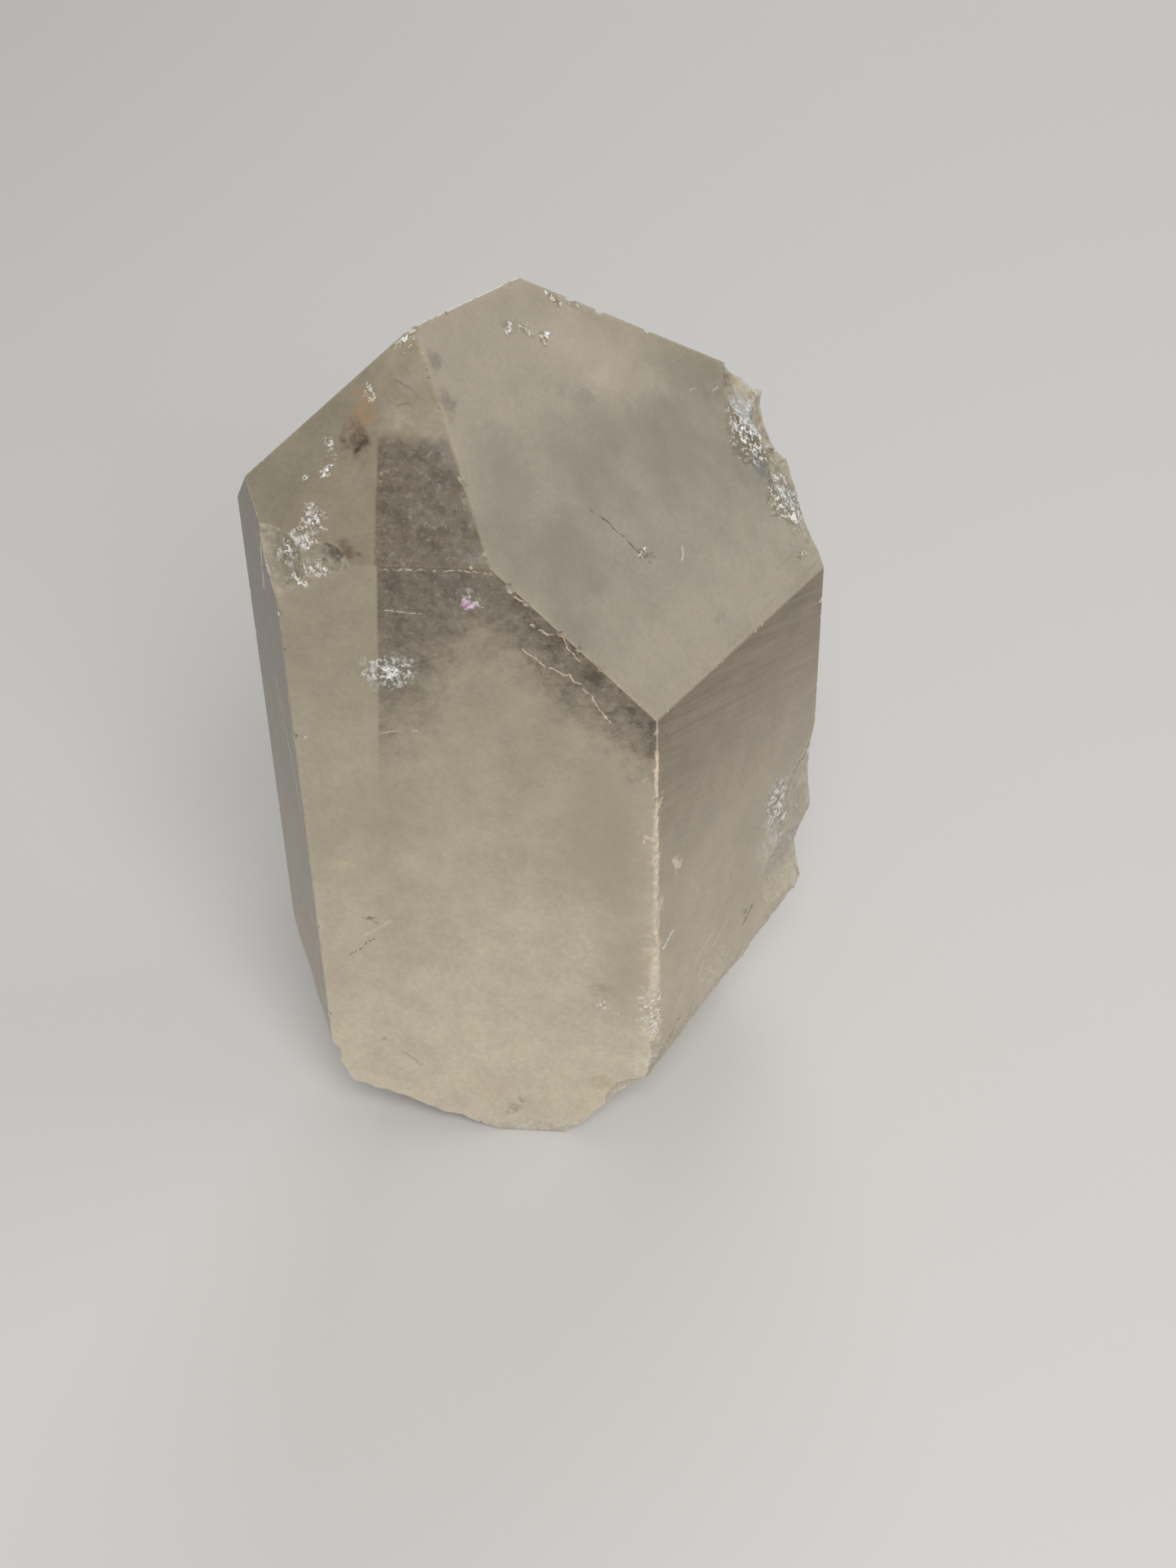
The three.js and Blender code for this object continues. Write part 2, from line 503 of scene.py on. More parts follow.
@dataclass(frozen=True)
class CrystalSizes:
    """Every size that shapes the crystal, in millimetres and degrees."""

    seed: int = 7
    block: float = 130.0
    cap_rise: float = 38.2
    sides: tuple[float, ...] = (19.7, 20.0, 27.7, 19.7, 17.9, 29.8)
    cap: tuple[tuple[float, float], ...] = ((0, 98.2), (60, 82.1), (180, 96.9), (240, 98.1))
    ridge: tuple[Facing, float] = (Facing(232, 52), 73.8)
    foot_height: float = 1.0
    edge_round: float = 0.10
    cell: float = 4.3
    cell_offset: float = 0.37
    ball_segments: int = 96
    ball_rings: int = 120
    ripple_spacing: float = 0.62
    ripple_height: float = 0.05
    nick_small: float = 0.14
    nick_large: float = 0.75
    nick_gap: float = 2.6
    nick_margin: float = 1.0
    nick_spread: float = 2.4
    nick_clearance: float = 1.2
    nick_stretch: tuple[float, float] = (0.35, 1.15)
    crack_overlap: float = 1.02
    crease: float = 28.0
    foot_breaks: tuple[Break, ...] = (
        Break("under_right", Facing(70.6, -46), 5.5, (14, 0, 8), (62, 40)),
        Break("right_bevel", Facing(62, -18), 14.8, (19, -6, 12), (50, 16), GRAINY, 0.35),
        Break("front_left", Facing(-48, -60), 8.7, (-12, -14, 2), (40, 30)),
        Break("under_back", Facing(196, -50), 8.6, (-4, 14, 6), (56, 34)),
        Break("back_right", Facing(128, -38), 13.5, (14, 14, 8), (40, 36)),
    )
    corner_roof: Break = Break("corner_roof", Facing(240.6, -34.8), 1.6, (-22, -6, 14), (60, 60))
    corner_wall: Break = Break("corner_wall", Facing(262, -16), 15.6, (-16, -2, 6), (60, 60))
    bruised_edge: Break = Break(
        "bruised_edge", Facing(30, -0.42), 22.56, (11.7, -19.7, 33), (3.6, 62), GRAINY, 0.22, 3.0)
    scars: tuple[Scar, ...] = (
        Scar("left_shoulder", (-22.6, -19.4, 72.8), Facing(-24, 16), 8.6, 1.3),
        Scar("left_shoulder_inner", (-18.4, -19.5, 73.4), Facing(-6, 22), 5.2, 0.7),
        Scar("right_shoulder_top", (18.4, 16.1, 72.4), Facing(96, 24), 7.2, 1.8),
        Scar("right_shoulder_upper", (21.2, 16.4, 68.6), Facing(100, 14), 7.0, 1.8),
        Scar("right_shoulder_middle", (22.2, 15.4, 66.8), Facing(104, 8), 4.4, 2.8),
        Scar("right_shoulder_lower", (24.9, 10.8, 61.4), Facing(84, 26), 6.0, 0.4),
        Scar("right_shoulder_face", (20.2, 13.6, 69.2), Facing(74, 44), 6.4, 0.5),
        Scar("right_shoulder_glint", (23.6, 11.8, 63.4), Facing(74, 40), 5.4, 0.35),
        Scar("right_edge_upper", (27.4, 7.6, 29.2), Facing(84, 4), 9.0, 0.35),
        Scar("right_edge_lower", (27.2, 7.2, 19.6), Facing(84, -4), 12.0, 1.8),
        Scar("right_flake", (26.0, 5.1, 29.2), Facing(66, 3), 8.6, 0.5),
        Scar("right_flake_low", (24.4, 2.3, 21.8), Facing(63, -4), 8.6, 0.55),
        Scar("front_foot_right", (9.4, -19.6, 7.6), Facing(10, -42), 5.4, 0.9),
        Scar("back_foot", (3.0, 19.6, 12.0), Facing(178, -24), 15.0, 2.0),
        Scar("back_left_edge", (-9.4, 19.6, 47.0), Facing(208, 6), 10.0, 1.1),
    )
    rim: tuple[Point, ...] = (
        (-20.9, -19.6, 6.4), (-12.0, -19.6, 2.7), (-5.7, -19.6, 0.2), (1.5, -19.6, 0.2), (6.0, -19.6, 4.0),
        (11.6, -19.6, 9.2),
    )
    rim_passes: int = 6
    known_nicks: tuple[tuple[Point, float], ...] = (
        ((-9.6, -4.8, 89.9), 0.6), ((-3.5, 4.7, 89.3), 0.7), ((0.4, 7.5, 86.6), 0.9),
        ((1.9, 8.6, 85.4), 0.7),
        ((-11.0, -6.6, 89.8), 0.8), ((-3.2, -19.7, 72.6), 0.5), ((-1.6, -19.7, 71.0), 0.8),
        ((-0.2, -19.7, 69.4), 0.7), ((3.0, -19.7, 66.2), 0.9), ((4.6, -19.7, 64.6), 0.6),
        ((10.9, -19.7, 58.0), 0.6), ((-21.4, -19.7, 72.6), 0.7), ((26.9, 6.8, 57.6), 0.6),
        ((-23.1, -19.6, 53.4), 0.6), ((-23.2, -19.6, 44.0), 0.4), ((19.4, 14.2, 70.1), 0.9),
    )
    cracks: tuple[Crack, ...] = (
        Crack("cap_crack", Facing(60, 38.2),
              ((4.3, -7.75, 72.6), (5.0, -7.5, 72.0), (5.6, -7.5, 71.4), (6.4, -7.5, 70.5)), 0.13),
        Crack("cap_crack_low", Facing(60, 38.2),
              ((7.0, -7.5, 69.8), (7.8, -7.3, 69.1), (8.8, -7.3, 68.0), (9.7, -7.2, 67.1),
               (10.7, -7.5, 65.8)), 0.20),
    )

    def grown_faces(self) -> list[tuple[Facing, float]]:
        """Lists the grown faces and the worn ridge.

        Returns:
            The facing and the distance of every face.
        """
        sides = [(Facing(60 * turn), distance) for turn, distance in enumerate(self.sides)]
        reach = math.sin(math.radians(self.cap_rise))
        cap = [(Facing(azimuth, self.cap_rise), crossing * reach) for azimuth, crossing in self.cap]
        return sides + cap + [self.ridge]


class Bench:
    """Adds and joins the nodes of one node tree."""

    def __init__(self, tree: bpy.types.NodeTree) -> None:
        """Keeps the tree that the nodes go in."""
        self.tree = tree

    def add(self, kind: str, settings: dict | None = None, **inputs: Feed) -> bpy.types.Node:
        """Adds a node, sets it up and feeds its inputs.

        Args:
            kind: The node's type.
            settings: Its own properties.
            inputs: A value or a socket for each input, by the input's name with _ for a space.

        Returns:
            The node.
        """
        node = self.tree.nodes.new(kind)
        for name, value in (settings or {}).items():
            setattr(node, name, value)
        self.feed_all(node, inputs)
        return node

    def use(self, group: bpy.types.NodeTree, **inputs: Feed) -> bpy.types.NodeOutputs:
        """Places a node group and feeds its inputs.

        Args:
            group: The group.
            inputs: A value or a socket for each input, by the input's name.

        Returns:
            The group's outputs.
        """
        node = self.tree.nodes.new("ShaderNodeGroup")
        node.node_tree = group
        self.feed_all(node, inputs)
        return node.outputs

    def feed_all(self, node: bpy.types.Node, inputs: dict[str, Feed]) -> None:
        """Feeds several inputs of a node.

        Args:
            node: The node.
            inputs: A value or a socket for each input, by the input's name with _ for a space.
        """
        for name, value in inputs.items():
            self.feed(node.inputs[name.replace("_", " ")], value)

    def feed(self, socket: Socket, value: Feed) -> None:
        """Links a socket to an input, or sets the input to a value.

        Args:
            socket: The input.
            value: The socket or the value. None leaves the input alone.
        """
        if isinstance(value, Socket):
            self.tree.links.new(value, socket)
        elif value is not None:
            socket.default_value = value

    def math(self, operation: str, *values: Feed) -> Socket:
        """Works out a number.

        Args:
            operation: The Math node's operation.
            values: What it works on.

        Returns:
            The result.
        """
        node = self.add("ShaderNodeMath", {"operation": operation})
        for socket, value in zip(node.inputs, values):
            self.feed(socket, value)
        return node.outputs["Value"]

    def times(self, first: Feed, *factors: Feed) -> Feed:
        """Multiplies numbers together.

        Args:
            first: The first number.
            factors: The others.

        Returns:
            Their product.
        """
        for factor in factors:
            first = self.math("MULTIPLY", first, factor)
        return first

    def vector(self, operation: str, *values: Feed, scale: Feed = None) -> Socket:
        """Works out a vector.

        Args:
            operation: The Vector Math node's operation.
            values: The vectors that it works on.
            scale: The number that it works with, if it takes one.

        Returns:
            The result.
        """
        node = self.add("ShaderNodeVectorMath", {"operation": operation})
        for socket, value in zip(node.inputs, values):
            self.feed(socket, value)
        if scale is not None:
            self.feed(node.inputs["Scale"], scale)
        return node.outputs["Value" if operation in MEASURES else "Vector"]

    def ramp(self, value: Feed, low: Feed, high: Feed, start: float = 0.0, end: float = 1.0) -> Socket:
        """Steps smoothly from one number to another.

        Args:
            value: What the step follows.
            low: Where the step starts.
            high: Where the step ends.
            start: The number before the step.
            end: The number after it.

        Returns:
            The number in between.
        """
        node = self.add("ShaderNodeMapRange", {"interpolation_type": "SMOOTHSTEP"}, Value=value)
        for label, number in (("From Min", low), ("From Max", high), ("To Min", start), ("To Max", end)):
            self.feed(node.inputs[label], number)
        return node.outputs["Result"]

    def blend(self, share: Feed, under: Feed, over: Feed, mode: str = "MIX") -> Socket:
        """Lays one colour over another.

        Args:
            share: How much of the upper colour shows.
            under: The lower colour.
            over: The upper colour.
            mode: How the two are mixed.

        Returns:
            The mixed colour.
        """
        node = self.add("ShaderNodeMix", {"data_type": "RGBA", "blend_type": mode})
        for socket, value in zip((node.inputs[0], node.inputs[6], node.inputs[7]), (share, under, over)):
            self.feed(socket, value + OPAQUE if isinstance(value, tuple) else value)
        return node.outputs[2]

    def noise(
        self, place: Socket, scale: float, detail: float, rough: float = 0.5, gives: str = "Fac"
    ) -> Socket:
        """Makes cloudy chance numbers round one half.

        Args:
            place: The place.
            scale: How many clouds there are to a millimetre.
            detail: How many finer layers they have.
            rough: How strong the finer layers are.
            gives: The output that is wanted: a number, or a colour whose parts differ.

        Returns:
            The number or the colour at the place.
        """
        settings = {"Scale": scale, "Detail": detail, "Roughness": rough}
        return self.add("ShaderNodeTexNoise", Vector=place, **settings).outputs[gives]

    def stray(self, place: Socket, scale: float, detail: float, rough: float = 0.5) -> Socket:
        """A cloudy chance vector round zero."""
        return self.vector("SUBTRACT", self.noise(place, scale, detail, rough, "Color"), HALF)

    def shift(self, place: Socket, stray: Socket, reach: float) -> Socket:
        """The place, moved by a vector times a reach."""
        return self.vector("ADD", place, self.vector("SCALE", stray, scale=reach))


class Kind(Enum):
    """What a group's socket carries."""

    NUMBER = "NodeSocketFloat"
    PLACE = "NodeSocketVector"
    COLOUR = "NodeSocketColor"


class Group:
    """A shader node group that is being built: its bench, what comes in and what goes out."""

    def __init__(self, name: str, takes: dict[str, Kind], gives: dict[str, Kind]) -> None:
        """Makes the group and its sockets.

        Args:
            name: The group's name.
            takes: The kind of each input, by its name.
            gives: The kind of each output, by its name.
        """
        self.tree = bpy.data.node_groups.new(name, "ShaderNodeTree")
        for side, sockets in (("INPUT", takes), ("OUTPUT", gives)):
            for label, kind in sockets.items():
                self.tree.interface.new_socket(label, in_out=side, socket_type=kind.value)
        self.bench = Bench(self.tree)
        self.inputs = self.bench.add("NodeGroupInput").outputs
        self.sink = self.bench.add("NodeGroupOutput")

    def give(self, **outputs: Feed) -> bpy.types.NodeTree:
        """Joins the results to the group's outputs and hands the group over."""
        self.bench.feed_all(self.sink, outputs)
        return self.tree


def soft_patch_group() -> bpy.types.NodeTree:
    """Makes the group for a patch round a point: 1 in its middle, falling to 0 at its reach.

    Returns:
        The group.
    """
    takes = {"Place": Kind.PLACE, "Centre": Kind.PLACE, "Reach": Kind.PLACE, "Edge": Kind.NUMBER}
    group = Group("soft_patch", takes, {"Mask": Kind.NUMBER})
    bench, given = group.bench, group.inputs
    offset = bench.vector("SUBTRACT", given["Place"], given["Centre"])
    far = bench.vector("LENGTH", bench.vector("DIVIDE", offset, given["Reach"]))
    return group.give(Mask=bench.ramp(far, 1.0, bench.math("SUBTRACT", 1.0, given["Edge"])))


def hairline_group() -> bpy.types.NodeTree:
    """Makes the group for a thin straight line: 1 along it, falling to 0 at its half width.

    Returns:
        The group.
    """
    takes = {"Place": Kind.PLACE, "Start": Kind.PLACE, "End": Kind.PLACE, "Width": Kind.NUMBER}
    group = Group("hairline", takes, {"Mask": Kind.NUMBER})
    bench, given = group.bench, group.inputs
    whole_share = 0.3
    run = bench.vector("SUBTRACT", given["End"], given["Start"])
    offset = bench.vector("SUBTRACT", given["Place"], given["Start"])
    along = bench.vector("DOT_PRODUCT", offset, run)
    length = bench.vector("DOT_PRODUCT", run, run)
    share = bench.add("ShaderNodeClamp", Value=bench.math("DIVIDE", along, length)).outputs["Result"]
    far = bench.vector("DISTANCE", offset, bench.vector("SCALE", run, scale=share))
    return group.give(Mask=bench.ramp(far, given["Width"], bench.times(given["Width"], whole_share)))


def face_side_group() -> bpy.types.NodeTree:
    """Makes the group for a face: 1 on the surface that faces one way, 0 elsewhere.

    Returns:
        The group.
    """
    group = Group("face_side", {"Normal": Kind.PLACE, "Facing": Kind.PLACE}, {"Mask": Kind.NUMBER})
    bench, given = group.bench, group.inputs
    elsewhere, on_face = 0.90, 0.97
    dot = bench.vector("DOT_PRODUCT", given["Normal"], given["Facing"])
    return group.give(Mask=bench.ramp(dot, elsewhere, on_face))


def growth_lines_group() -> bpy.types.NodeTree:
    """Makes the group for the broken parallel lines of growth, stacked along one direction.

    Returns:
        The group.
    """
    takes = {"Place": Kind.PLACE, "Stacked": Kind.PLACE, "Spacing": Kind.NUMBER}
    group = Group("growth_lines", takes, {"Lines": Kind.NUMBER})
    bench, given = group.bench, group.inputs
    drift = 0.09
    between, on_line = 0.32, 0.70
    up = bench.vector("DOT_PRODUCT", given["Place"], given["Stacked"])
    level = bench.math("DIVIDE", up, given["Spacing"])
    drifted = bench.vector("SCALE", given["Place"], scale=drift)
    place = bench.vector("ADD", drifted, bench.vector("SCALE", given["Stacked"], scale=level))
    return group.give(Lines=bench.ramp(bench.noise(place, 1.0, 3.0, 0.6), between, on_line))


def facet_glitter_group() -> bpy.types.NodeTree:
    """Makes the group for tiny tilted facets: their relief, in millimetres, and how strongly each glints.

    Returns:
        The group.
    """
    takes = {"Place": Kind.PLACE, "Fineness": Kind.NUMBER}
    group = Group("facet_glitter", takes, {"Relief": Kind.NUMBER, "Bright": Kind.NUMBER})
    bench, given = group.bench, group.inputs
    dull, bright = 0.56, 0.64
    place = bench.shift(given["Place"], bench.stray(given["Place"], 2.6, 2.0), 0.8)
    cells = bench.add("ShaderNodeTexVoronoi", Vector=place, Scale=given["Fineness"]).outputs
    tilt = bench.vector("SUBTRACT", cells["Color"], HALF)
    relief = bench.vector("DOT_PRODUCT", tilt, bench.vector("SUBTRACT", place, cells["Position"]))
    chance = bench.add("ShaderNodeSeparateXYZ", Vector=cells["Color"]).outputs
    strength = bench.math("MULTIPLY_ADD", chance["Y"], 0.6, 0.6)
    return group.give(Relief=relief, Bright=bench.times(bench.ramp(chance["X"], dull, bright), strength))


@dataclass(frozen=True)
class Patch:
    """A coloured patch: its middle and reach in millimetres, and how strongly and how softly it shows."""

    name: str
    centre: Point
    reach: Point
    colour: Colour
    strength: float = 0.6
    edge: float = 0.8


@dataclass(frozen=True)
class Hairline:
    """A fine line through points, with its half width in millimetres."""

    name: str
    points: tuple[Point, ...]
    width: float
    colour: Colour
    strength: float = 0.8


INK = (0.012, 0.010, 0.008)
BROWN = (0.075, 0.050, 0.030)
RUST = (0.30, 0.20, 0.11)
SMOKE = (0.15, 0.13, 0.10)
SLATE = (0.16, 0.17, 0.16)
DEEP = (0.158, 0.131, 0.098)
OLIVE = (0.306, 0.266, 0.196)
MILK = (0.385, 0.340, 0.255)
CREAM = (0.530, 0.465, 0.355)
ROSE = (0.50, 0.41, 0.31)
STRAW = (0.50, 0.46, 0.27)
CHALK = (0.68, 0.55, 0.44)
FROST = (0.82, 0.83, 0.80)
ICE = (0.40, 0.43, 0.41)
ORCHID = (0.75, 0.42, 0.68)


class MilkyBodyAndPaintedLight:
    """The colour that lies in the whole crystal, with painted shade on its sides and in its front windows
    and painted light towards its foot, as one node group for every finish.

    Heights and distances are in millimetres. A pair says where a change starts and where it is whole.
    """

    FRONT = Facing(0)
    RIGHT = Facing(60)
    LEFT = Facing(300)
    CAP_FRONT = Facing(0, 38.2)
    CAP_RIGHT = Facing(60, 38.2)

    SWIRL = 34.0
    # Paler towards the foot: partly milkiness, partly painted light on the lower part.
    MILKY_AND_PAINTED_LIGHT_BELOW = (70.0, 36.0)
    CREAMY_AND_PAINTED_LIGHT_BELOW = (44.0, 10.0)

    # Painted shade on the left side, darkest towards its top.
    LEFT_PAINTED_SHADE_HIGH = (0.40, 0.33, 0.26)
    LEFT_PAINTED_SHADE_LOW = (0.56, 0.50, 0.42)
    LEFT_SHADE_EASES_BELOW = (60.0, 14.0)
    LEFT_STACKED = (0.5, -0.866, 0.0)
    LEFT_LINES = 0.08

    # Painted shade on the right side, deepest towards its top.
    RIGHT_PAINTED_SHADE_LOW = (0.79, 0.77, 0.75)
    RIGHT_PAINTED_SHADE_HIGH = (0.39, 0.325, 0.26)
    RIGHT_SHADE_DEEPENS_ABOVE = (32.0, 62.0)
    RIGHT_STACKED = (0.135, 0.234, 0.963)
    RIGHT_LINES = (34.0, 58.0, 0.02, 0.13)

    CAP_DIM = (0.185, 0.158, 0.106)
    CAP_PALE = (0.227, 0.198, 0.139)
    CAP_HIGH = (0.262, 0.224, 0.158)
    CAP_WARM = (0.248, 0.208, 0.150)
    CAP_COOL = (0.224, 0.196, 0.143)
    CAP_HIGH_ABOVE = (74.0, 82.0)
    CAP_HIGH_BELOW = (66.0, 60.0)
    SEAM_LEAN = 0.794
    SEAM = (-82.0, -82.8)
    CORNER_ABOVE = (81.0, 83.0)
    CORNER_RIGHT_OF = (-15.0, -12.5)

    BACK_SIDE = (0.05, 0.20)
    POOLS_ABOVE = (34.0, 66.0)
    POOL_DEPTH = 0.48
    VEIL_STRETCH = (1.0, 1.0, 0.35)
    VEIL_STRENGTH = 0.4

    # Painted shade in the clear front windows, standing for dark surroundings seen through them.
    WINDOW_PAINTED_SHADE = (0.085, 0.068, 0.050)
    WINDOW_SHADE_STRENGTH = 0.92
    WALL_LEAN = 0.070
    WALL = (-18.75, -18.45)
    EAVE_SLOPE = 1.04
    EAVE_MIDDLE = 69.3
    EAVE_TOP = 72.8
    WINDOW_HEIGHT = (-5.0, -13.0, 9.0, 23.0)
    WINDOW_FADE = (1.25, 0.05)
    SILL = (82.6, 81.2)
    CAP_WALL = (-13.9, -13.6)
    NEAR_EAVE = (9.0, 1.0)
    NEAR_EDGE = (-5.0, 0.0)

    def __init__(self) -> None:
        """Opens the group and builds the colour in it."""
        self.face_side = face_side_group()
        self.growth_lines = growth_lines_group()
        group = Group("milky_body_and_painted_light", {"Place": Kind.PLACE, "Normal": Kind.PLACE}, {"Colour": Kind.COLOUR})
        self.bench = group.bench
        self.place = group.inputs["Place"]
        self.normal = group.inputs["Normal"]
        self.axes = self.bench.add("ShaderNodeSeparateXYZ", Vector=self.place).outputs
        self.clouds = self.bench.noise(self.place, 0.085, 3.0, 0.55)
        self.colour: Feed = OLIVE
        self.fill()
        self.tone_left_side()
        self.tone_right_side()
        self.tone_great_cap()
        self.tone_small_cap()
        self.clear_pools()
        self.open_windows()
        self.mottle()
        self.tree = group.give(Colour=self.colour)

    def lay(self, share: Feed, over: Feed, mode: str = "MIX") -> None:
        """Lays a colour over the colour so far."""
        self.colour = self.bench.blend(share, self.colour, over, mode)

    def side(self, facing: Facing) -> Socket:
        """The mask of the face that looks one way."""
        return self.bench.use(self.face_side, Normal=self.normal, Facing=tuple(facing.vector()))["Mask"]

    def lines(self, stacked: Point, spacing: float) -> Socket:
        """The growth lines that are stacked along a direction."""
        lines = self.bench.use(self.growth_lines, Place=self.place, Stacked=stacked, Spacing=spacing)
        return lines["Lines"]

    def fill(self) -> None:
        """Fills the crystal with its milkiness, paler towards the foot: partly the milkiness, partly
        painted light on its lower part.
        """
        bench = self.bench
        swirl = bench.math("MULTIPLY_ADD", self.clouds, self.SWIRL, -self.SWIRL / 2)
        height = bench.math("ADD", self.axes["Z"], swirl)
        # Partly milkiness, partly painted light: the colour grows paler towards the foot.
        self.lay(bench.ramp(height, *self.MILKY_AND_PAINTED_LIGHT_BELOW), MILK)
        self.lay(bench.ramp(height, *self.CREAMY_AND_PAINTED_LIGHT_BELOW), CREAM)

    def tone_left_side(self) -> None:
        """Paints shade on the left side, most towards its top, and draws pale upright growth streaks on it.
        """
        bench = self.bench
        low = bench.ramp(self.axes["Z"], *self.LEFT_SHADE_EASES_BELOW)
        # Painted shade: the left side is multiplied darker, most towards its top.
        shade = bench.blend(low, self.LEFT_PAINTED_SHADE_HIGH, self.LEFT_PAINTED_SHADE_LOW)
        side = self.side(self.LEFT)
        self.lay(side, shade, "MULTIPLY")
        lines = bench.times(self.lines(self.LEFT_STACKED, 0.5), self.LEFT_LINES)
        self.lay(bench.times(side, lines), CREAM)

    def tone_right_side(self) -> None:
        """Paints a warm shade on the right side, deepest towards its top, and draws slanting growth streaks
        on it.
        """
        bench = self.bench
        high = bench.ramp(self.axes["Z"], *self.RIGHT_SHADE_DEEPENS_ABOVE)
        # Painted shade: the right side is multiplied darker and warmer, most towards its top.
        shade = bench.blend(high, self.RIGHT_PAINTED_SHADE_LOW, self.RIGHT_PAINTED_SHADE_HIGH)
        side = self.side(self.RIGHT)
        self.lay(side, shade, "MULTIPLY")
        stacked = tuple(Vector(self.RIGHT_STACKED).normalized())
        lines = bench.times(self.lines(stacked, 0.6), bench.ramp(self.axes["Z"], *self.RIGHT_LINES))
        self.lay(bench.times(side, lines), CREAM)

    def tone_great_cap(self) -> None:
        """Evens out the great cap face, which catches the same light nearly all over."""
        bench = self.bench
        even = bench.blend(bench.ramp(self.clouds, 0.42, 0.62), self.CAP_DIM, self.CAP_PALE)
        for high in (self.CAP_HIGH_ABOVE, self.CAP_HIGH_BELOW):
            even = bench.blend(bench.ramp(self.axes["Z"], *high), even, self.CAP_HIGH)
        self.lay(self.side(self.CAP_RIGHT), even)

    def tone_small_cap(self) -> None:
        """Tones the halves of the small cap face, which a back edge seen through it divides."""
        bench = self.bench
        seam = bench.math("MULTIPLY_ADD", self.axes["Z"], -self.SEAM_LEAN, self.axes["X"])
        halves = bench.blend(bench.ramp(seam, *self.SEAM), self.CAP_WARM, self.CAP_COOL)
        above = bench.ramp(self.axes["Z"], *self.CORNER_ABOVE)
        corner = bench.times(above, bench.ramp(self.axes["X"], *self.CORNER_RIGHT_OF))
        halves = bench.blend(corner, halves, self.CAP_HIGH)
        self.lay(self.side(self.CAP_FRONT), halves)

    def clear_pools(self) -> None:
        """Darkens the clearer pools in the upper part of the back, and draws pale veils through it."""
        bench = self.bench
        facing = bench.add("ShaderNodeSeparateXYZ", Vector=self.normal).outputs
        back = bench.ramp(facing["Y"], *self.BACK_SIDE)
        pools = bench.ramp(bench.noise(self.place, 0.07, 3.0, 0.6), 0.47, 0.55)
        share = bench.times(pools, back, bench.ramp(self.axes["Z"], *self.POOLS_ABOVE), self.POOL_DEPTH)
        self.lay(share, DEEP)
        drawn = bench.vector("MULTIPLY", self.place, self.VEIL_STRETCH)
        veils = bench.ramp(bench.noise(drawn, 0.22, 5.0, 0.7), 0.56, 0.70)
        self.lay(bench.times(veils, back, self.VEIL_STRENGTH), CREAM)

    def open_windows(self) -> None:
        """Darkens the clear windows at the top of the front with painted shade that stands for dark
        surroundings seen through them.
        """
        bench, axes = self.bench, self.axes
        loose = bench.math("MULTIPLY_ADD", bench.noise(self.place, 0.45, 4.0, 0.65), 16.0, -8.0)
        wall = bench.math("MULTIPLY_ADD", axes["Z"], -self.WALL_LEAN, axes["X"])
        slope = bench.math("MULTIPLY_ADD", axes["X"], -self.EAVE_SLOPE, self.EAVE_MIDDLE)
        under_eave = bench.math("SUBTRACT", bench.math("MINIMUM", slope, self.EAVE_TOP), axes["Z"])
        below = bench.math("ADD", under_eave, loose)
        share = bench.math("DIVIDE", below, bench.ramp(axes["X"], *self.WINDOW_HEIGHT))
        front = bench.times(self.side(self.FRONT), bench.ramp(wall, *self.WALL))
        open_front = bench.times(front, bench.ramp(share, *self.WINDOW_FADE))

        sill = bench.ramp(bench.math("MULTIPLY_ADD", loose, 0.20, axes["Z"]), *self.SILL)
        open_cap = bench.times(self.side(self.CAP_FRONT), bench.ramp(axes["X"], *self.CAP_WALL), sill)
        window = bench.math("MAXIMUM", open_front, open_cap)
        # Painted shade: the clear windows are darkened as if dark surroundings showed through them.
        self.lay(bench.times(window, self.WINDOW_SHADE_STRENGTH), DEEP)

        near_edge = bench.ramp(axes["X"], *self.NEAR_EDGE)
        near_eave = bench.times(bench.ramp(under_eave, *self.NEAR_EAVE), near_edge)
        depth = bench.math("MULTIPLY_ADD", bench.times(front, near_eave), 0.45, 0.5)
        # More painted shade, in blots and fine flecks through the windows, deeper near the eave.
        shade_blots = bench.ramp(bench.noise(self.place, 0.75, 5.0, 0.70), 0.47, 0.62)
        self.lay(bench.times(shade_blots, depth, window), self.WINDOW_PAINTED_SHADE)
        fine = bench.ramp(bench.noise(self.place, 2.8, 4.0, 0.75), 0.52, 0.66)
        self.lay(bench.times(window, 0.60, fine), self.WINDOW_PAINTED_SHADE)
        wisps = bench.ramp(bench.noise(self.place, 1.9, 5.0, 0.75), 0.53, 0.70)
        self.lay(bench.times(wisps, window, 0.45), MILK)

    def mottle(self) -> None:
        """Adds the fine flecked grain of the milkiness."""
        bench = self.bench
        fine = bench.ramp(bench.noise(self.place, 1.9, 4.0, 0.7), 0.30, 0.72, 0.935, 1.065)
        broad = bench.ramp(bench.noise(self.place, 0.30, 2.0, 0.5), 0.30, 0.70, 0.950, 1.050)
        self.colour = bench.vector("SCALE", self.colour, scale=bench.times(fine, broad))


class SharedGroups:
    """The node groups that every finish uses, each built once."""

    def __init__(self) -> None:
        """Builds the groups."""
        self.soft_patch = soft_patch_group()
        self.hairline = hairline_group()
        self.facet_glitter = facet_glitter_group()
        self.body = MilkyBodyAndPaintedLight()


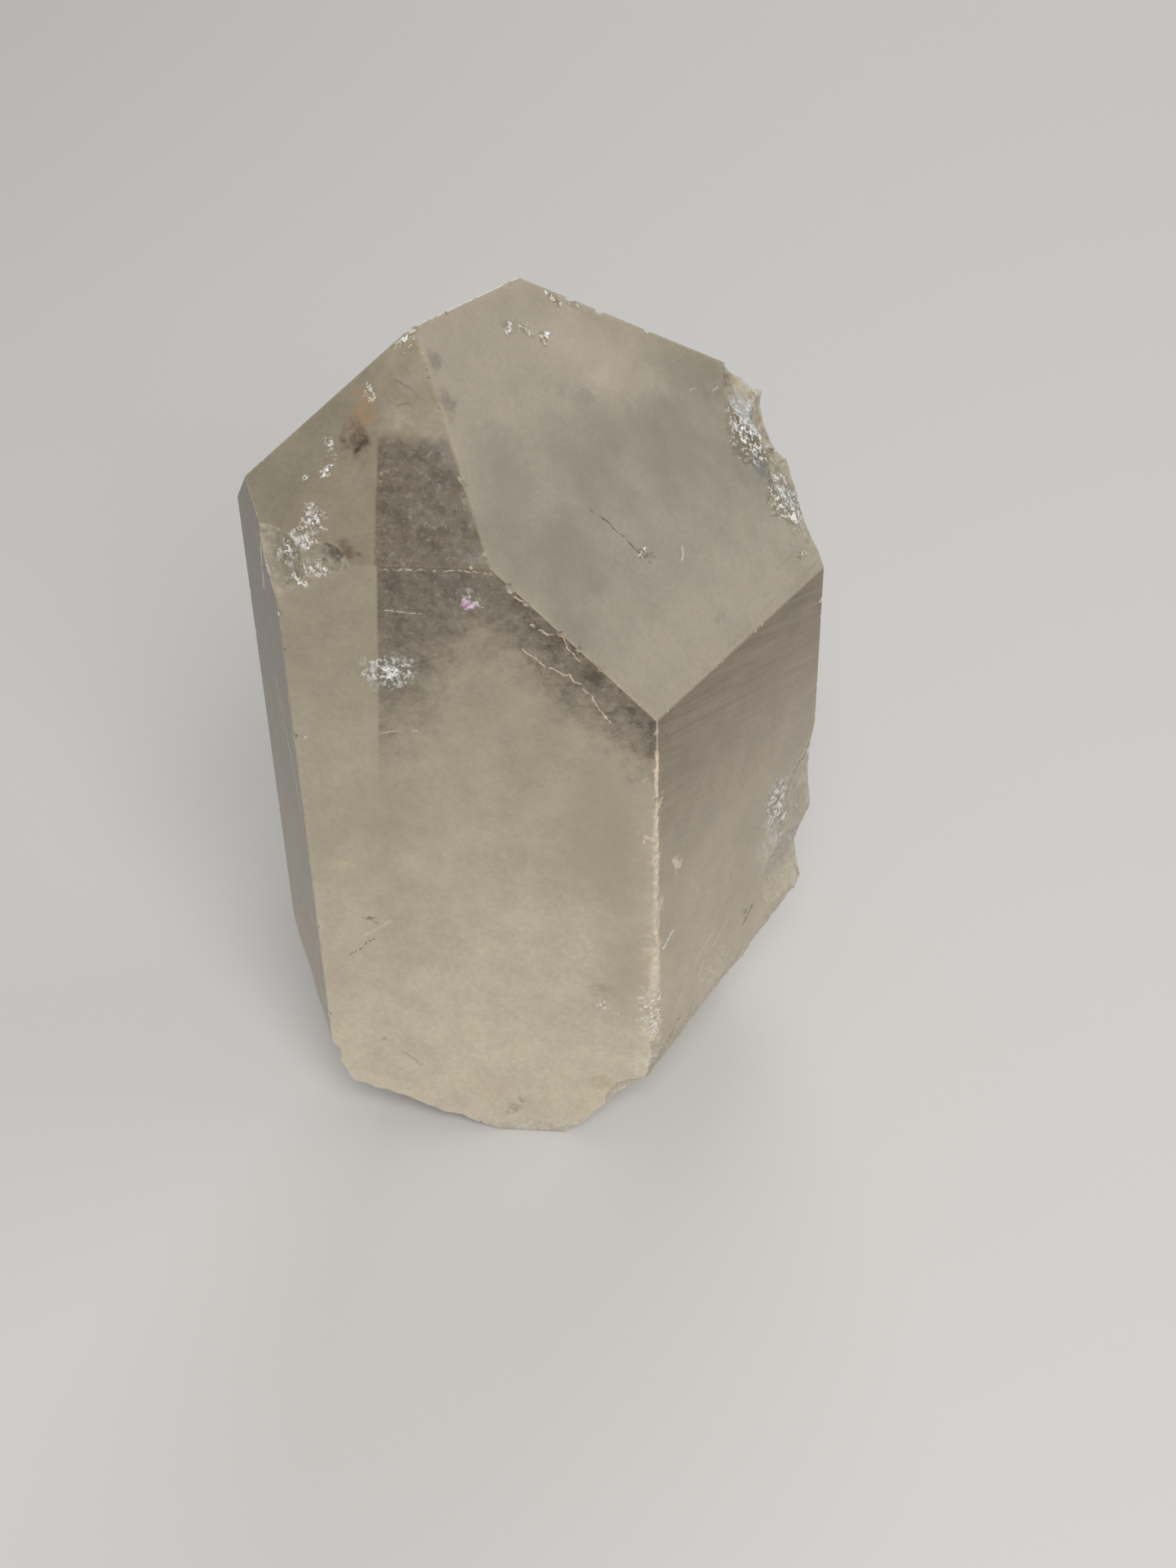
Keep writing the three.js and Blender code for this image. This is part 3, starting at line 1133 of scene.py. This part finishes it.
@dataclass(frozen=True)
class QuartzFinish:
    """Milky quartz under one kind of surface.

    frost is how much the surface scatters white, and glitter_all_over how strongly it glitters outside
    its glitter spots. hackle, growth_relief and facet_relief are the heights of its fine roughness, its
    growth lines and its facets, in millimetres. ragged and wavy are how far the edges of patches and the
    hairlines stray, in millimetres. bending is the refractive index.
    """

    name: str
    patches: tuple[Patch, ...] = ()
    hairlines: tuple[Hairline, ...] = ()
    glitter_spots: tuple[Patch, ...] = ()
    glitter_all_over: float = 0.0
    frost: float = 0.0
    roughness: float = 0.10
    hackle: float = 0.004
    growth_relief: float = 0.006
    facet_relief: float = 0.9
    facet_fineness: float = 3.0
    # How much white is painted in as glints where the facets glitter.
    facet_painted_glint: float = 0.85
    facet_polish: float = 0.05
    ragged: float = 3.6
    wavy: float = 0.9
    clearness: float = 0.16
    bending: float = 1.544
    milkiness: float = 0.45
    scatter_colour: Colour = (1.0, 0.85, 0.6)
    scatter_metres: float = 0.004


class Surface:
    """The material of one finish, drawn layer by layer."""

    def __init__(self, finish: QuartzFinish, groups: SharedGroups) -> None:
        """Opens the material.

        Args:
            finish: What the surface looks like.
            groups: The node groups that the finishes share.
        """
        self.finish = finish
        self.groups = groups
        self.material = bpy.data.materials.new(finish.name)
        self.material.use_nodes = True
        self.bench = Bench(self.material.node_tree)
        coordinates = self.bench.add("ShaderNodeTexCoord").outputs
        self.normal = coordinates["Normal"]
        self.place = self.bench.vector("SCALE", coordinates["Object"], scale=1 / MILLIMETRE)
        stray = self.bench.stray(self.place, 0.9, 3.0, 0.6)
        self.ragged = self.bench.shift(self.place, stray, finish.ragged)
        self.wavy = self.bench.shift(self.place, stray, finish.wavy)
        self.colour = self.bench.use(groups.body.tree, Place=self.place, Normal=self.normal)["Colour"]

    def build(self) -> bpy.types.Material:
        """Draws the layers and feeds the shader.

        Returns:
            The material.
        """
        finish, bench = self.finish, self.bench
        self.lay_frost()
        self.draw_marks()
        facets = bench.use(self.groups.facet_glitter, Place=self.place, Fineness=finish.facet_fineness)
        spots = self.glitter()
        bright = bench.times(spots, facets["Bright"])
        # Painted glints: white is laid into the colour where the facets glitter, over their real relief and
        # polish.
        self.lay(bench.times(bright, finish.facet_painted_glint), FROST)
        looks = {
            "Base Color": self.colour,
            "Roughness": bench.math("SUBTRACT", self.gloss(), bench.times(bright, finish.facet_polish)),
            "Normal": self.relief(bench.times(facets["Relief"], spots)),
            "Transmission Weight": finish.clearness,
            "IOR": finish.bending,
            "Subsurface Weight": finish.milkiness,
            "Subsurface Radius": finish.scatter_colour,
            "Subsurface Scale": finish.scatter_metres,
        }
        bench.feed_all(self.material.node_tree.nodes["Principled BSDF"], looks)
        return self.material

    def lay(self, share: Feed, over: Feed) -> None:
        """Lays a colour over the colour so far."""
        self.colour = self.bench.blend(share, self.colour, over)

    def lay_frost(self) -> None:
        """Whitens the surface patchily where it is frosted."""
        if self.finish.frost:
            patchy = self.bench.ramp(self.bench.noise(self.place, 0.8, 4.0, 0.65), 0.35, 0.65, 0.2, 1.0)
            self.lay(self.bench.times(patchy, self.finish.frost), CREAM)

    def draw_marks(self) -> None:
        """Lays the patches and then the hairlines over the body."""
        for patch in self.finish.patches:
            self.lay(self.patch_share(patch), patch.colour)
        for line in self.finish.hairlines:
            for start, end in zip(line.points, line.points[1:]):
                shape = {"Start": start, "End": end, "Width": line.width}
                mask = self.bench.use(self.groups.hairline, Place=self.wavy, **shape)["Mask"]
                self.lay(self.bench.times(mask, line.strength), line.colour)

    def patch_share(self, patch: Patch) -> Socket:
        """How much of a patch shows.

        Args:
            patch: The patch.

        Returns:
            The share at the place.
        """
        shape = {"Centre": patch.centre, "Reach": patch.reach, "Edge": patch.edge}
        mask = self.bench.use(self.groups.soft_patch, Place=self.ragged, **shape)["Mask"]
        return self.bench.times(mask, patch.strength)

    def glitter(self) -> Feed:
        """Where the surface glitters: in its spots, or all over.

        Returns:
            How strongly it glitters at the place.
        """
        total = self.finish.glitter_all_over
        for spot in self.finish.glitter_spots:
            total = self.bench.math("MAXIMUM", total, self.patch_share(spot))
        return total

    def gloss(self) -> Socket:
        """The surface's roughness, smeared by handling.

        Returns:
            The roughness at the place.
        """
        smears = self.bench.noise(self.place, 0.5, 3.0, 0.6)
        polished, dulled = self.finish.roughness * 0.7, self.finish.roughness * 1.7
        return self.bench.ramp(smears, 0.30, 0.75, polished, dulled)

    def relief(self, facets: Socket) -> Socket:
        """The surface's fine relief: growth lines, hackle and glittering facets.

        Args:
            facets: The relief of the facets that glitter.

        Returns:
            The normal at the place.
        """
        bench, finish = self.bench, self.finish
        upright = {"Stacked": (0.0, 0.0, 1.0), "Spacing": 0.7}
        lines = bench.use(self.groups.body.growth_lines, Place=self.place, **upright)["Lines"]
        grain = bench.noise(self.place, 2.2, 4.0, 0.6)
        low = bench.math("MULTIPLY_ADD", grain, finish.hackle, bench.times(lines, finish.growth_relief))
        height = bench.math("ADD", low, bench.times(facets, finish.facet_relief))
        return bench.add("ShaderNodeBump", Height=height, Distance=MILLIMETRE).outputs["Normal"]


STAINS = (
    Patch("stain_halo", (-15.2, -11.3, 84.2), (1.5, 2.4, 3.8), RUST, 0.65),
    Patch("stain", (-15.8, -13.0, 82.1), (1.5, 1.9, 2.7), BROWN, 0.9, 0.9),
    Patch("stain_core", (-15.8, -13.2, 81.6), (0.9, 1.0, 1.2), INK, 0.6, 1.0),
    Patch("spot_by_ridge", (-7.7, -9.9, 84.3), (1.4, 1.8, 2.6), BROWN, 0.6, 1.0),
    Patch("spot_high", (-9.0, -7.5, 87.3), (1.3, 1.3, 1.4), BROWN, 0.5, 1.0),
    Patch("pale_high", (-12.2, -11.3, 83.9), (2.0, 1.8, 1.8), CREAM, 0.3, 1.0),
    Patch("dim_left", (-3.0, -11.0, 79.0), (4.5, 5.0, 9.0), (0.165, 0.147, 0.102), 0.7, 1.0),
    Patch("shell_dark", (-16.2, -19.4, 74.2), (1.7, 1.2, 1.5), BROWN, 0.6, 0.8),
    Patch("wall_pocket", (-12.2, -19.7, 71.0), (1.0, 1.0, 2.2), BROWN, 0.6, 1.0),
    Patch("wall_pocket_low", (-12.0, -19.7, 66.4), (1.2, 1.0, 2.0), BROWN, 0.6, 1.0),
    Patch("edge_pocket", (2.4, -19.7, 65.4), (1.8, 1.0, 1.6), BROWN, 0.75, 0.9),
    Patch("edge_pocket_low", (5.6, -19.7, 61.8), (1.8, 1.0, 1.6), BROWN, 0.7, 0.9),
    Patch("edge_pocket_high", (-1.2, -19.7, 69.0), (1.1, 1.0, 1.3), BROWN, 0.6, 0.9),
    Patch("spot_mid", (3.7, 1.4, 79.2), (2.4, 1.5, 1.0), SMOKE, 0.5, 1.0),
    Patch("spot_mid_left", (1.6, 0.0, 80.2), (1.6, 1.2, 0.9), SMOKE, 0.3, 1.0),
    Patch("bevel_speck", (20.5, -4.4, 20.0), (0.7, 1.0, 0.9), SMOKE, 0.7, 0.7),
    Patch("spot_by_chip", (20.5, 11.0, 66.5), (1.3, 1.8, 2.0), (0.085, 0.090, 0.085), 0.8, 1.0),
    Patch("foot_speck", (-17.3, -19.7, 13.2), (0.8, 0.6, 0.7), SMOKE, 0.6, 0.8),
    Patch("foot_grains", (-4.0, -19.7, 3.6), (1.2, 0.8, 1.4), SMOKE, 0.45, 1.0),
    Patch("foot_grains_right", (-2.7, -19.7, 5.0), (0.6, 0.6, 0.6), SMOKE, 0.5, 1.0),
    Patch("rosy_foot", (-6.0, -19.7, 6.5), (3.2, 1.0, 2.4), ROSE, 0.35, 1.0),
    Patch("smudge_low", (17.1, -6.1, 59.5), (1.0, 1.1, 0.9), SMOKE, 0.4, 1.0),
    Patch("rosy_veil", (6.6, 6.2, 79.4), (7.0, 7.0, 5.5), ROSE, 0.26, 1.0),
    Patch("rosy_veil_core", (5.4, 4.6, 79.6), (2.6, 2.6, 2.0), ROSE, 0.22, 1.0),
    Patch("rosy_veil_high", (2.0, 4.6, 83.6), (6.5, 6.0, 4.0), ROSE, 0.26, 1.0),
    Patch("rosy_veil_right", (10.5, 9.0, 77.0), (3.4, 3.0, 2.2), CREAM, 0.18, 1.0),
    Patch("orchid_glint", (-5.4, -19.7, 69.4), (0.7, 0.6, 0.9), ORCHID, 0.8),
    Patch("straw_patch", (-19.8, -19.7, 37.5), (1.6, 0.8, 1.0), STRAW, 0.6),
    Patch("foot_stain", (5.9, -19.7, 8.2), (1.8, 1.0, 1.6), RUST, 0.25),
    Patch("dark_speck", (-17.5, -19.7, 30.5), (0.45, 0.4, 0.55), SMOKE, 0.8),
    Patch("dark_speck_right", (5.9, -19.7, 21.8), (2.0, 0.8, 1.2), SMOKE, 0.45, 1.0),
    Patch("green_pool", (6.5, -19.7, 41.0), (6.0, 2.0, 13.0), OLIVE, 0.65),
    Patch("green_pool_low", (8.5, -19.7, 24.0), (5.0, 2.0, 12.0), OLIVE, 0.60, 1.0),
    Patch("green_pool_left", (-14.5, -19.7, 44.5), (5.0, 2.0, 5.0), OLIVE, 0.4),
    Patch("ink_dot", (12.4, -18.4, 53.9), (0.32, 0.32, 0.38), INK, 0.95),
    Patch("crust_grain", (11.6, -19.5, 51.0), (0.5, 0.5, 1.0), CHALK, 0.7),
    Patch("crust_grain_mid", (11.8, -19.4, 46.6), (0.6, 0.6, 1.6), CHALK, 0.7),
    Patch("crust_grain_low", (11.5, -19.6, 39.6), (0.6, 0.5, 1.5), CHALK, 0.6),
    Patch("crust_grain_lower", (11.9, -19.3, 33.2), (0.7, 0.6, 1.8), CHALK, 0.6),
    Patch("crust_grain_foot", (11.5, -19.6, 28.4), (0.9, 0.7, 1.5), CHALK, 0.6),
    Patch("spur_left", (10.6, -19.6, 42.5), (1.2, 0.5, 0.8), CHALK, 0.85),
    Patch("spur_right", (13.6, -16.4, 36.6), (0.9, 0.9, 1.6), CHALK, 0.7),
    Patch("spur_top", (10.2, -19.6, 50.0), (0.8, 0.5, 0.4), CHALK, 0.6),
)

SHELLS = (
    Patch("shell_grey", (-19.6, -17.8, 73.6), (5.0, 5.0, 5.0), (0.250, 0.222, 0.160), 0.9, 0.4),
    Patch("shell_dark", (-17.4, -18.6, 74.2), (1.7, 3.0, 1.5), BROWN, 0.75, 0.7),
    Patch("shell_blue", (20.0, 15.2, 70.2), (4.0, 5.0, 4.6), ICE, 0.85, 0.6),
    Patch("shell_blue_low", (23.8, 10.8, 63.2), (3.2, 3.6, 4.4), (0.30, 0.29, 0.24), 0.7, 0.6),
    Patch("shell_shade", (21.6, 12.9, 66.6), (1.8, 2.4, 1.4), SLATE, 0.3, 1.0),
    Patch("shell_warm", (23.4, 14.0, 65.4), (1.8, 2.4, 1.6), MILK, 0.6, 0.8),
    Patch("crust_tone", (11.4, -19.3, 15.0), (3.0, 3.0, 10.0), (0.350, 0.315, 0.245), 0.75, 0.6),
    Patch("flake_grey", (24.8, 3.0, 25.5), (4.5, 7.0, 8.5), (0.31, 0.28, 0.215), 0.8, 0.5),
)

LINES = (
    Hairline("crack", ((4.3, -7.6, 72.6), (6.0, -7.2, 71.0), (8.2, -7.1, 68.6), (10.5, -7.2, 66.0)),
             0.16, INK),
    Hairline("edge_arc", ((-2.6, -19.4, 72.3), (-1.4, -19.6, 70.3), (0.3, -19.6, 69.0)), 0.16, CHALK),
    Hairline("branch", ((0.2, -19.7, 67.2), (1.6, -19.7, 66.0), (3.8, -19.7, 66.4)), 0.12, CHALK, 0.7),
    Hairline("branch_low", ((3.0, -19.7, 66.0), (3.6, -19.7, 64.4), (4.8, -19.7, 63.2)), 0.10, CHALK, 0.7),
    Hairline("long_arc", ((-0.8, -19.7, 64.4), (1.4, -19.7, 62.6), (3.6, -19.7, 61.6), (5.6, -19.7, 59.2),
                          (7.3, -19.7, 56.3)), 0.13, CHALK, 0.7),
    Hairline("left_scratch", ((-13.2, -19.7, 68.3), (-9.5, -19.7, 67.9)), 0.12, CREAM),
    Hairline("window_scratch", ((-14.6, -19.7, 54.4), (-11.0, -19.7, 54.8)), 0.10, CREAM),
    Hairline("low_scratch", ((-20.0, -19.7, 25.3), (-17.2, -19.7, 28.0)), 0.12, INK, 0.6),
    Hairline("low_scratch_pale", ((-18.2, -19.7, 28.2), (-15.4, -19.7, 30.2)), 0.3, CREAM, 0.6),
    Hairline("wrinkle", ((-12.5, -9.3, 86.4), (-11.2, -9.8, 85.8), (-10.2, -10.3, 85.1)), 0.17, SMOKE, 0.5),
    Hairline("wrinkle_low", ((-12.9, -10.6, 84.8), (-12.0, -10.9, 84.4), (-11.0, -10.7, 84.6)),
             0.16, SMOKE, 0.4),
    Hairline("wrinkle_high", ((-12.2, -8.6, 87.3), (-11.2, -9.0, 86.8)), 0.14, SMOKE, 0.4),
    Hairline("feather", ((15.7, 13.6, 73.6), (16.0, 14.4, 73.6)), 0.14, CREAM, 0.7),
    Hairline("feather_mid", ((16.6, 15.0, 73.5), (17.0, 16.2, 73.8)), 0.18, CREAM, 0.7),
    Hairline("feather_left", ((13.4, 11.6, 74.7), (13.9, 12.2, 74.5)), 0.12, CREAM, 0.6),
    Hairline("eave", ((-13.4, -19.7, 72.75), (-9.6, -19.7, 72.7), (-3.6, -19.7, 72.7)), 0.11, CREAM, 0.75),
    Hairline("bevel_crack", ((20.4, -4.6, 18.2), (21.4, -2.8, 19.4)), 0.26, INK, 0.6),
    Hairline("bevel_crack_low", ((13.0, -17.5, 13.2), (14.1, -15.6, 14.6)), 0.20, INK, 0.6),
    Hairline("bevel_crack_mid", ((14.9, -14.2, 13.8), (15.8, -12.6, 15.4)), 0.16, INK, 0.5),
    Hairline("bevel_streak", ((15.6, -12.9, 20.4), (17.4, -9.8, 21.8)), 0.26, CREAM, 0.5),
    Hairline("bevel_streak_mid", ((17.2, -10.0, 19.6), (18.8, -7.4, 21.2)), 0.26, CREAM, 0.5),
    Hairline("bevel_streak_low", ((14.4, -15.2, 18.6), (15.8, -12.6, 20.0)), 0.22, CREAM, 0.4),
    Hairline("spur_white", ((12.3, -18.7, 27.0), (13.2, -17.1, 28.0)), 0.22, FROST, 0.6),
    Hairline("flake_dark", ((26.6, 6.2, 33.0), (25.4, 4.1, 32.7), (24.5, 2.4, 30.8)), 0.20, INK, 0.55),
    Hairline("pale_streak", ((1.8, -19.7, 23.0), (3.1, -19.7, 21.2)), 0.40, CREAM, 0.5),
    Hairline("foot_line", ((-15.8, -19.7, 11.8), (-14.6, -19.7, 10.8), (-13.4, -19.7, 9.7)),
             0.12, SMOKE, 0.6),
    Hairline("cap_scratch", ((13.27, -2.8, 65.8), (13.35, -4.3, 64.7)), 0.13, CREAM, 0.7),
    Hairline("shelf_dark", ((26.6, 6.4, 31.5), (25.4, 4.0, 30.4), (24.8, 2.8, 27.6)), 0.22, SMOKE, 0.7),
    Hairline("back_line", ((-8.0, 19.7, 66.0), (-2.4, 19.7, 61.4), (3.0, 19.7, 60.2)), 0.14, CHALK, 0.6),
    Hairline("back_line_low", ((10.0, 19.7, 40.5), (8.2, 19.7, 36.0), (7.2, 19.7, 33.0)), 0.12, INK, 0.5),
    Hairline("back_left_line", ((-17.8, 5.0, 60.0), (-16.0, 8.1, 55.4), (-13.7, 12.1, 53.2)),
             0.14, CREAM, 0.6),
    # Painted highlight lines down the left face, which also read as pale veils.
    Hairline("left_face_highlight", ((-24.5, -17.0, 73.4), (-24.9, -16.3, 68.2)), 0.35, FROST, 0.5),
    Hairline("left_face_highlight_long", ((-25.0, -16.3, 58.0), (-23.4, -19.1, 44.0)), 0.30, CREAM, 0.4),
)

FLAKE_LINES = (
    Hairline("flake_edge", ((26.9, 7.3, 35.1), (26.6, 6.8, 32.8), (25.5, 5.0, 32.0), (24.5, 3.2, 31.0)),
             0.34, SMOKE, 0.75),
    Hairline("flake_glint", ((27.0, 7.6, 33.2), (27.2, 7.8, 32.4)), 0.40, FROST, 0.8),
    Hairline("flake_streak", ((26.4, 6.4, 30.2), (25.0, 4.0, 28.0)), 0.34, CREAM, 0.6),
    Hairline("flake_streak_low", ((26.0, 5.6, 28.6), (25.0, 3.9, 26.8)), 0.26, CREAM, 0.5),
    Hairline("notch_shade", ((25.4, 4.4, 25.2), (24.4, 3.0, 26.2), (23.4, 1.4, 26.6)), 0.42, SMOKE, 0.7),
    Hairline("notch_pale", ((25.4, 4.6, 23.6), (25.9, 5.4, 20.6), (25.8, 5.4, 17.6)), 0.42, ICE, 0.7),
)

CRUST = (
    Hairline("crust", ((11.7, -19.7, 53.0), (11.7, -19.7, 26.0)), 0.34, CHALK, 0.55),
    Hairline("crust_foot", ((11.5, -19.7, 26.0), (11.4, -19.7, 15.0)), 0.8, CHALK, 0.35),
)

# Where the facets glitter: their relief and polish are real, the white that they lay in the colour is
# painted glints.
GLITTER_SPOTS = (
    ("front_glitter", (-13.2, -19.7, 61.4), (3.2, 1.2, 2.7), 1.0, 0.7),
    ("shoulder_glitter", (-19.4, -17.3, 76.3), (1.4, 1.4, 1.2), 1.0, 0.5),
    ("shoulder_glitter_mid", (-20.4, -17.6, 75.0), (1.2, 2.4, 1.3), 1.0, 0.6),
    ("shoulder_glitter_left", (-21.4, -18.0, 73.8), (1.2, 2.6, 1.4), 1.0, 0.6),
    ("shoulder_glitter_end", (-22.3, -18.8, 72.8), (0.9, 2.2, 1.0), 1.0, 0.6),
    ("shoulder_glitter_low", (-21.0, -19.2, 71.4), (1.4, 2.0, 0.8), 1.0, 0.4),
    ("shoulder_flecks", (-18.0, -19.0, 72.2), (0.8, 1.6, 0.5), 0.7, 0.6),
    ("high_glitter", (-3.4, 0.9, 86.5), (1.3, 0.9, 0.7), 0.8, 0.7),
    ("high_glitter_mid", (-1.9, 2.2, 85.5), (0.9, 0.8, 0.7), 0.7, 0.7),
    ("high_glitter_right", (0.0, 3.3, 84.3), (1.1, 0.9, 1.2), 0.9, 0.7),
    ("ridge_glitter", (-11.9, -7.0, 89.2), (0.9, 0.9, 0.9), 1.0, 0.5),
    ("ridge_flecks", (-14.7, -10.0, 85.6), (0.45, 1.0, 1.4), 0.8, 0.6),
    ("cap_flecks", (-18.0, -13.2, 81.4), (0.45, 0.8, 1.0), 0.9, 0.5),
    ("cap_flecks_low", (-18.5, -14.5, 79.7), (0.45, 0.8, 1.2), 0.9, 0.5),
    ("cap_flecks_left", (-20.1, -15.0, 79.1), (0.35, 0.6, 0.7), 0.9, 0.5),
    ("rim_grain", (-1.0, -19.0, 0.6), (12.0, 3.0, 3.2), 0.45, 1.0),
    ("foot_edge_grain", (11.3, -19.5, 18.5), (1.9, 1.6, 7.0), 0.85, 1.0),
    ("foot_edge_grain_low", (11.0, -19.5, 11.5), (2.6, 2.0, 4.0), 0.4, 1.0),
    ("bevel_grain", (17.5, -9.5, 16.5), (5.5, 7.0, 4.5), 0.22, 1.0),
    ("flake_grain", (23.6, 0.8, 25.0), (3.2, 5.0, 6.5), 0.35, 0.8),
    ("crack_pit", (9.9, -6.9, 66.9), (1.3, 1.0, 0.9), 0.9, 0.6),
    ("orchid_flecks", (-5.2, -19.7, 69.9), (1.5, 0.6, 1.4), 0.7, 0.7),
    ("right_corner_flecks", (25.4, 6.8, 58.6), (0.9, 1.4, 0.8), 0.6, 0.8),
    ("right_corner_specks", (26.0, 9.2, 59.8), (0.5, 0.9, 1.2), 0.6, 0.8),
    ("flake_glitter", (22.9, -0.3, 31.6), (0.8, 1.0, 0.8), 1.0, 0.6),
    ("flake_glitter_low", (24.3, 2.2, 28.0), (0.9, 1.2, 1.4), 1.0, 0.6),
    ("speck_left", (-19.4, -19.7, 50.9), (0.5, 0.4, 0.4), 1.0, 0.6),
    ("speck_edge", (-22.3, -19.7, 53.4), (0.45, 0.5, 0.5), 1.0, 0.6),
    ("speck_mid", (-9.9, -19.7, 39.0), (0.28, 0.3, 0.4), 1.0, 0.5),
    ("speck_right", (5.7, -19.7, 19.7), (1.3, 0.5, 0.5), 0.9, 0.6),
    ("speck_right_two", (7.9, -19.7, 18.4), (0.5, 0.5, 0.4), 0.9, 0.6),
    ("shelf_glitter", (23.6, 1.0, 31.0), (2.2, 3.4, 4.4), 0.9, 0.7),
    ("shoulder_facets", (20.8, 14.0, 69.5), (5.0, 6.0, 4.2), 0.9, 0.5),
    ("shoulder_facets_low", (23.8, 10.8, 63.0), (3.2, 3.6, 4.4), 0.9, 0.5),
    ("top_facets", (0.4, 7.5, 86.5), (0.9, 0.9, 0.8), 0.9, 0.5),
    ("top_facets_right", (2.2, 8.8, 85.2), (0.9, 0.9, 0.7), 0.9, 0.5),
    ("back_glitter", (-3.0, 19.7, 52.0), (2.4, 1.2, 2.1), 0.9, 0.7),
    ("back_left_glitter", (-15.5, 9.0, 44.0), (1.8, 2.2, 1.5), 0.9, 0.7),
    ("back_cap_glitter", (2.0, 10.0, 84.2), (1.2, 1.6, 1.3), 0.9, 0.7),
    ("left_cap_glitter", (-12.5, 1.0, 84.0), (1.6, 1.6, 1.5), 0.9, 0.7),
    ("right_back_speck", (24.0, 13.8, 45.0), (1.4, 1.6, 1.0), 0.9, 0.7),
)
GLITTER = tuple(
    Patch(name, centre, reach, FROST, strength, edge)
    for name, centre, reach, strength, edge in GLITTER_SPOTS
)


@dataclass(frozen=True)
class Panel:
    """A square soft light that faces the crystal: its place and side in metres, and its power in watts."""

    name: str
    place: Point
    side: float
    power: float


@dataclass(frozen=True)
class Studio:
    """The pale floor, the soft lights and the camera, in metres and degrees."""

    aim: Point = (0.0033, 0.0003, 0.0331)
    distance: float = 0.235
    azimuth: float = 5.06
    elevation: float = 38.25
    roll: float = -1.27
    lens: float = 66.8
    nearest: float = 0.01
    floor_size: float = 6.0
    floor_colour: Colour = (0.52, 0.51, 0.495)
    floor_roughness: float = 0.7
    room_colour: Colour = (1.0, 0.98, 0.95)
    room_light: float = 0.34
    panels: tuple[Panel, ...] = (
        Panel("key_panel", (0.18, -0.62, 0.64), 0.5, 7.9),
        Panel("side_panel", (0.7, 0.1, 0.45), 0.45, 1.0),
        Panel("back_panel", (0.1, 0.8, 0.6), 0.5, 2.5),
    )

    def build(self) -> None:
        """Sets everything up."""
        self.lay_floor()
        self.hang_lights()
        self.place_camera()

    def lay_floor(self) -> None:
        """Lays a plain pale floor."""
        Workbench.clear_selection()
        bpy.ops.mesh.primitive_plane_add(size=self.floor_size)
        floor = bpy.context.object
        floor.name = "floor"
        material = bpy.data.materials.new("pale_floor")
        material.use_nodes = True
        shader = material.node_tree.nodes["Principled BSDF"]
        shader.inputs["Base Color"].default_value = self.floor_colour + OPAQUE
        shader.inputs["Roughness"].default_value = self.floor_roughness
        floor.data.materials.append(material)

    def hang_lights(self) -> None:
        """Hangs the soft panels and fills the room with even light."""
        for panel in self.panels:
            self.hang_panel(panel)
        world = bpy.data.worlds.new("room")
        world.use_nodes = True
        background = world.node_tree.nodes["Background"]
        background.inputs["Color"].default_value = self.room_colour + OPAQUE
        background.inputs["Strength"].default_value = self.room_light
        bpy.context.scene.world = world

    def hang_panel(self, panel: Panel) -> None:
        """Hangs one panel and turns it to the crystal.

        Args:
            panel: The panel.
        """
        light = bpy.data.lights.new(panel.name, "AREA")
        light.size = panel.side
        light.energy = panel.power
        lamp = bpy.data.objects.new(panel.name, light)
        lamp.location = Vector(panel.place)
        lamp.rotation_euler = (lamp.location - Vector(self.aim)).to_track_quat("Z", "Y").to_euler()
        bpy.context.scene.collection.objects.link(lamp)

    def place_camera(self) -> None:
        """Places the camera and makes it the scene's."""
        back = Facing(self.azimuth, self.elevation).vector()
        turn = math.radians(self.azimuth)
        right = Vector((math.cos(turn), math.sin(turn), 0))
        up = back.cross(right)
        axes = Matrix((right, up, back)).transposed()
        camera = bpy.data.objects.new("camera", bpy.data.cameras.new("camera"))
        camera.data.sensor_fit = "HORIZONTAL"
        camera.data.lens = self.lens
        camera.data.clip_start = self.nearest
        tilt = Matrix.Rotation(math.radians(self.roll), 3, "Z")
        place = Matrix.Translation(Vector(self.aim) + back * self.distance)
        camera.matrix_world = place @ (axes @ tilt).to_4x4()
        bpy.context.scene.collection.objects.link(camera)
        bpy.context.scene.camera = camera


def main() -> None:
    """Builds the crystal and the studio round it."""
    logging.basicConfig(level=logging.INFO, format="%(message)s")
    groups = SharedGroups()
    grown = QuartzFinish("grown_quartz", STAINS, CRUST + LINES, GLITTER)
    broken = QuartzFinish(
        "broken_quartz", SHELLS, CRUST + FLAKE_LINES, GLITTER,
        glitter_all_over=0.12, frost=0.5, roughness=0.24, hackle=0.05,
    )
    finishes = [Surface(finish, groups).build() for finish in (grown, broken)]
    crystal = Crystal(CrystalSizes(), *finishes).build()
    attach(crystal, "root")
    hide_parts(NODE)
    LOG.info("crystal: %d faces", len(crystal.data.polygons))
    Studio().build()
    bpy.context.scene.view_settings.view_transform = "Standard"


if __name__ == "__main__":
    main()
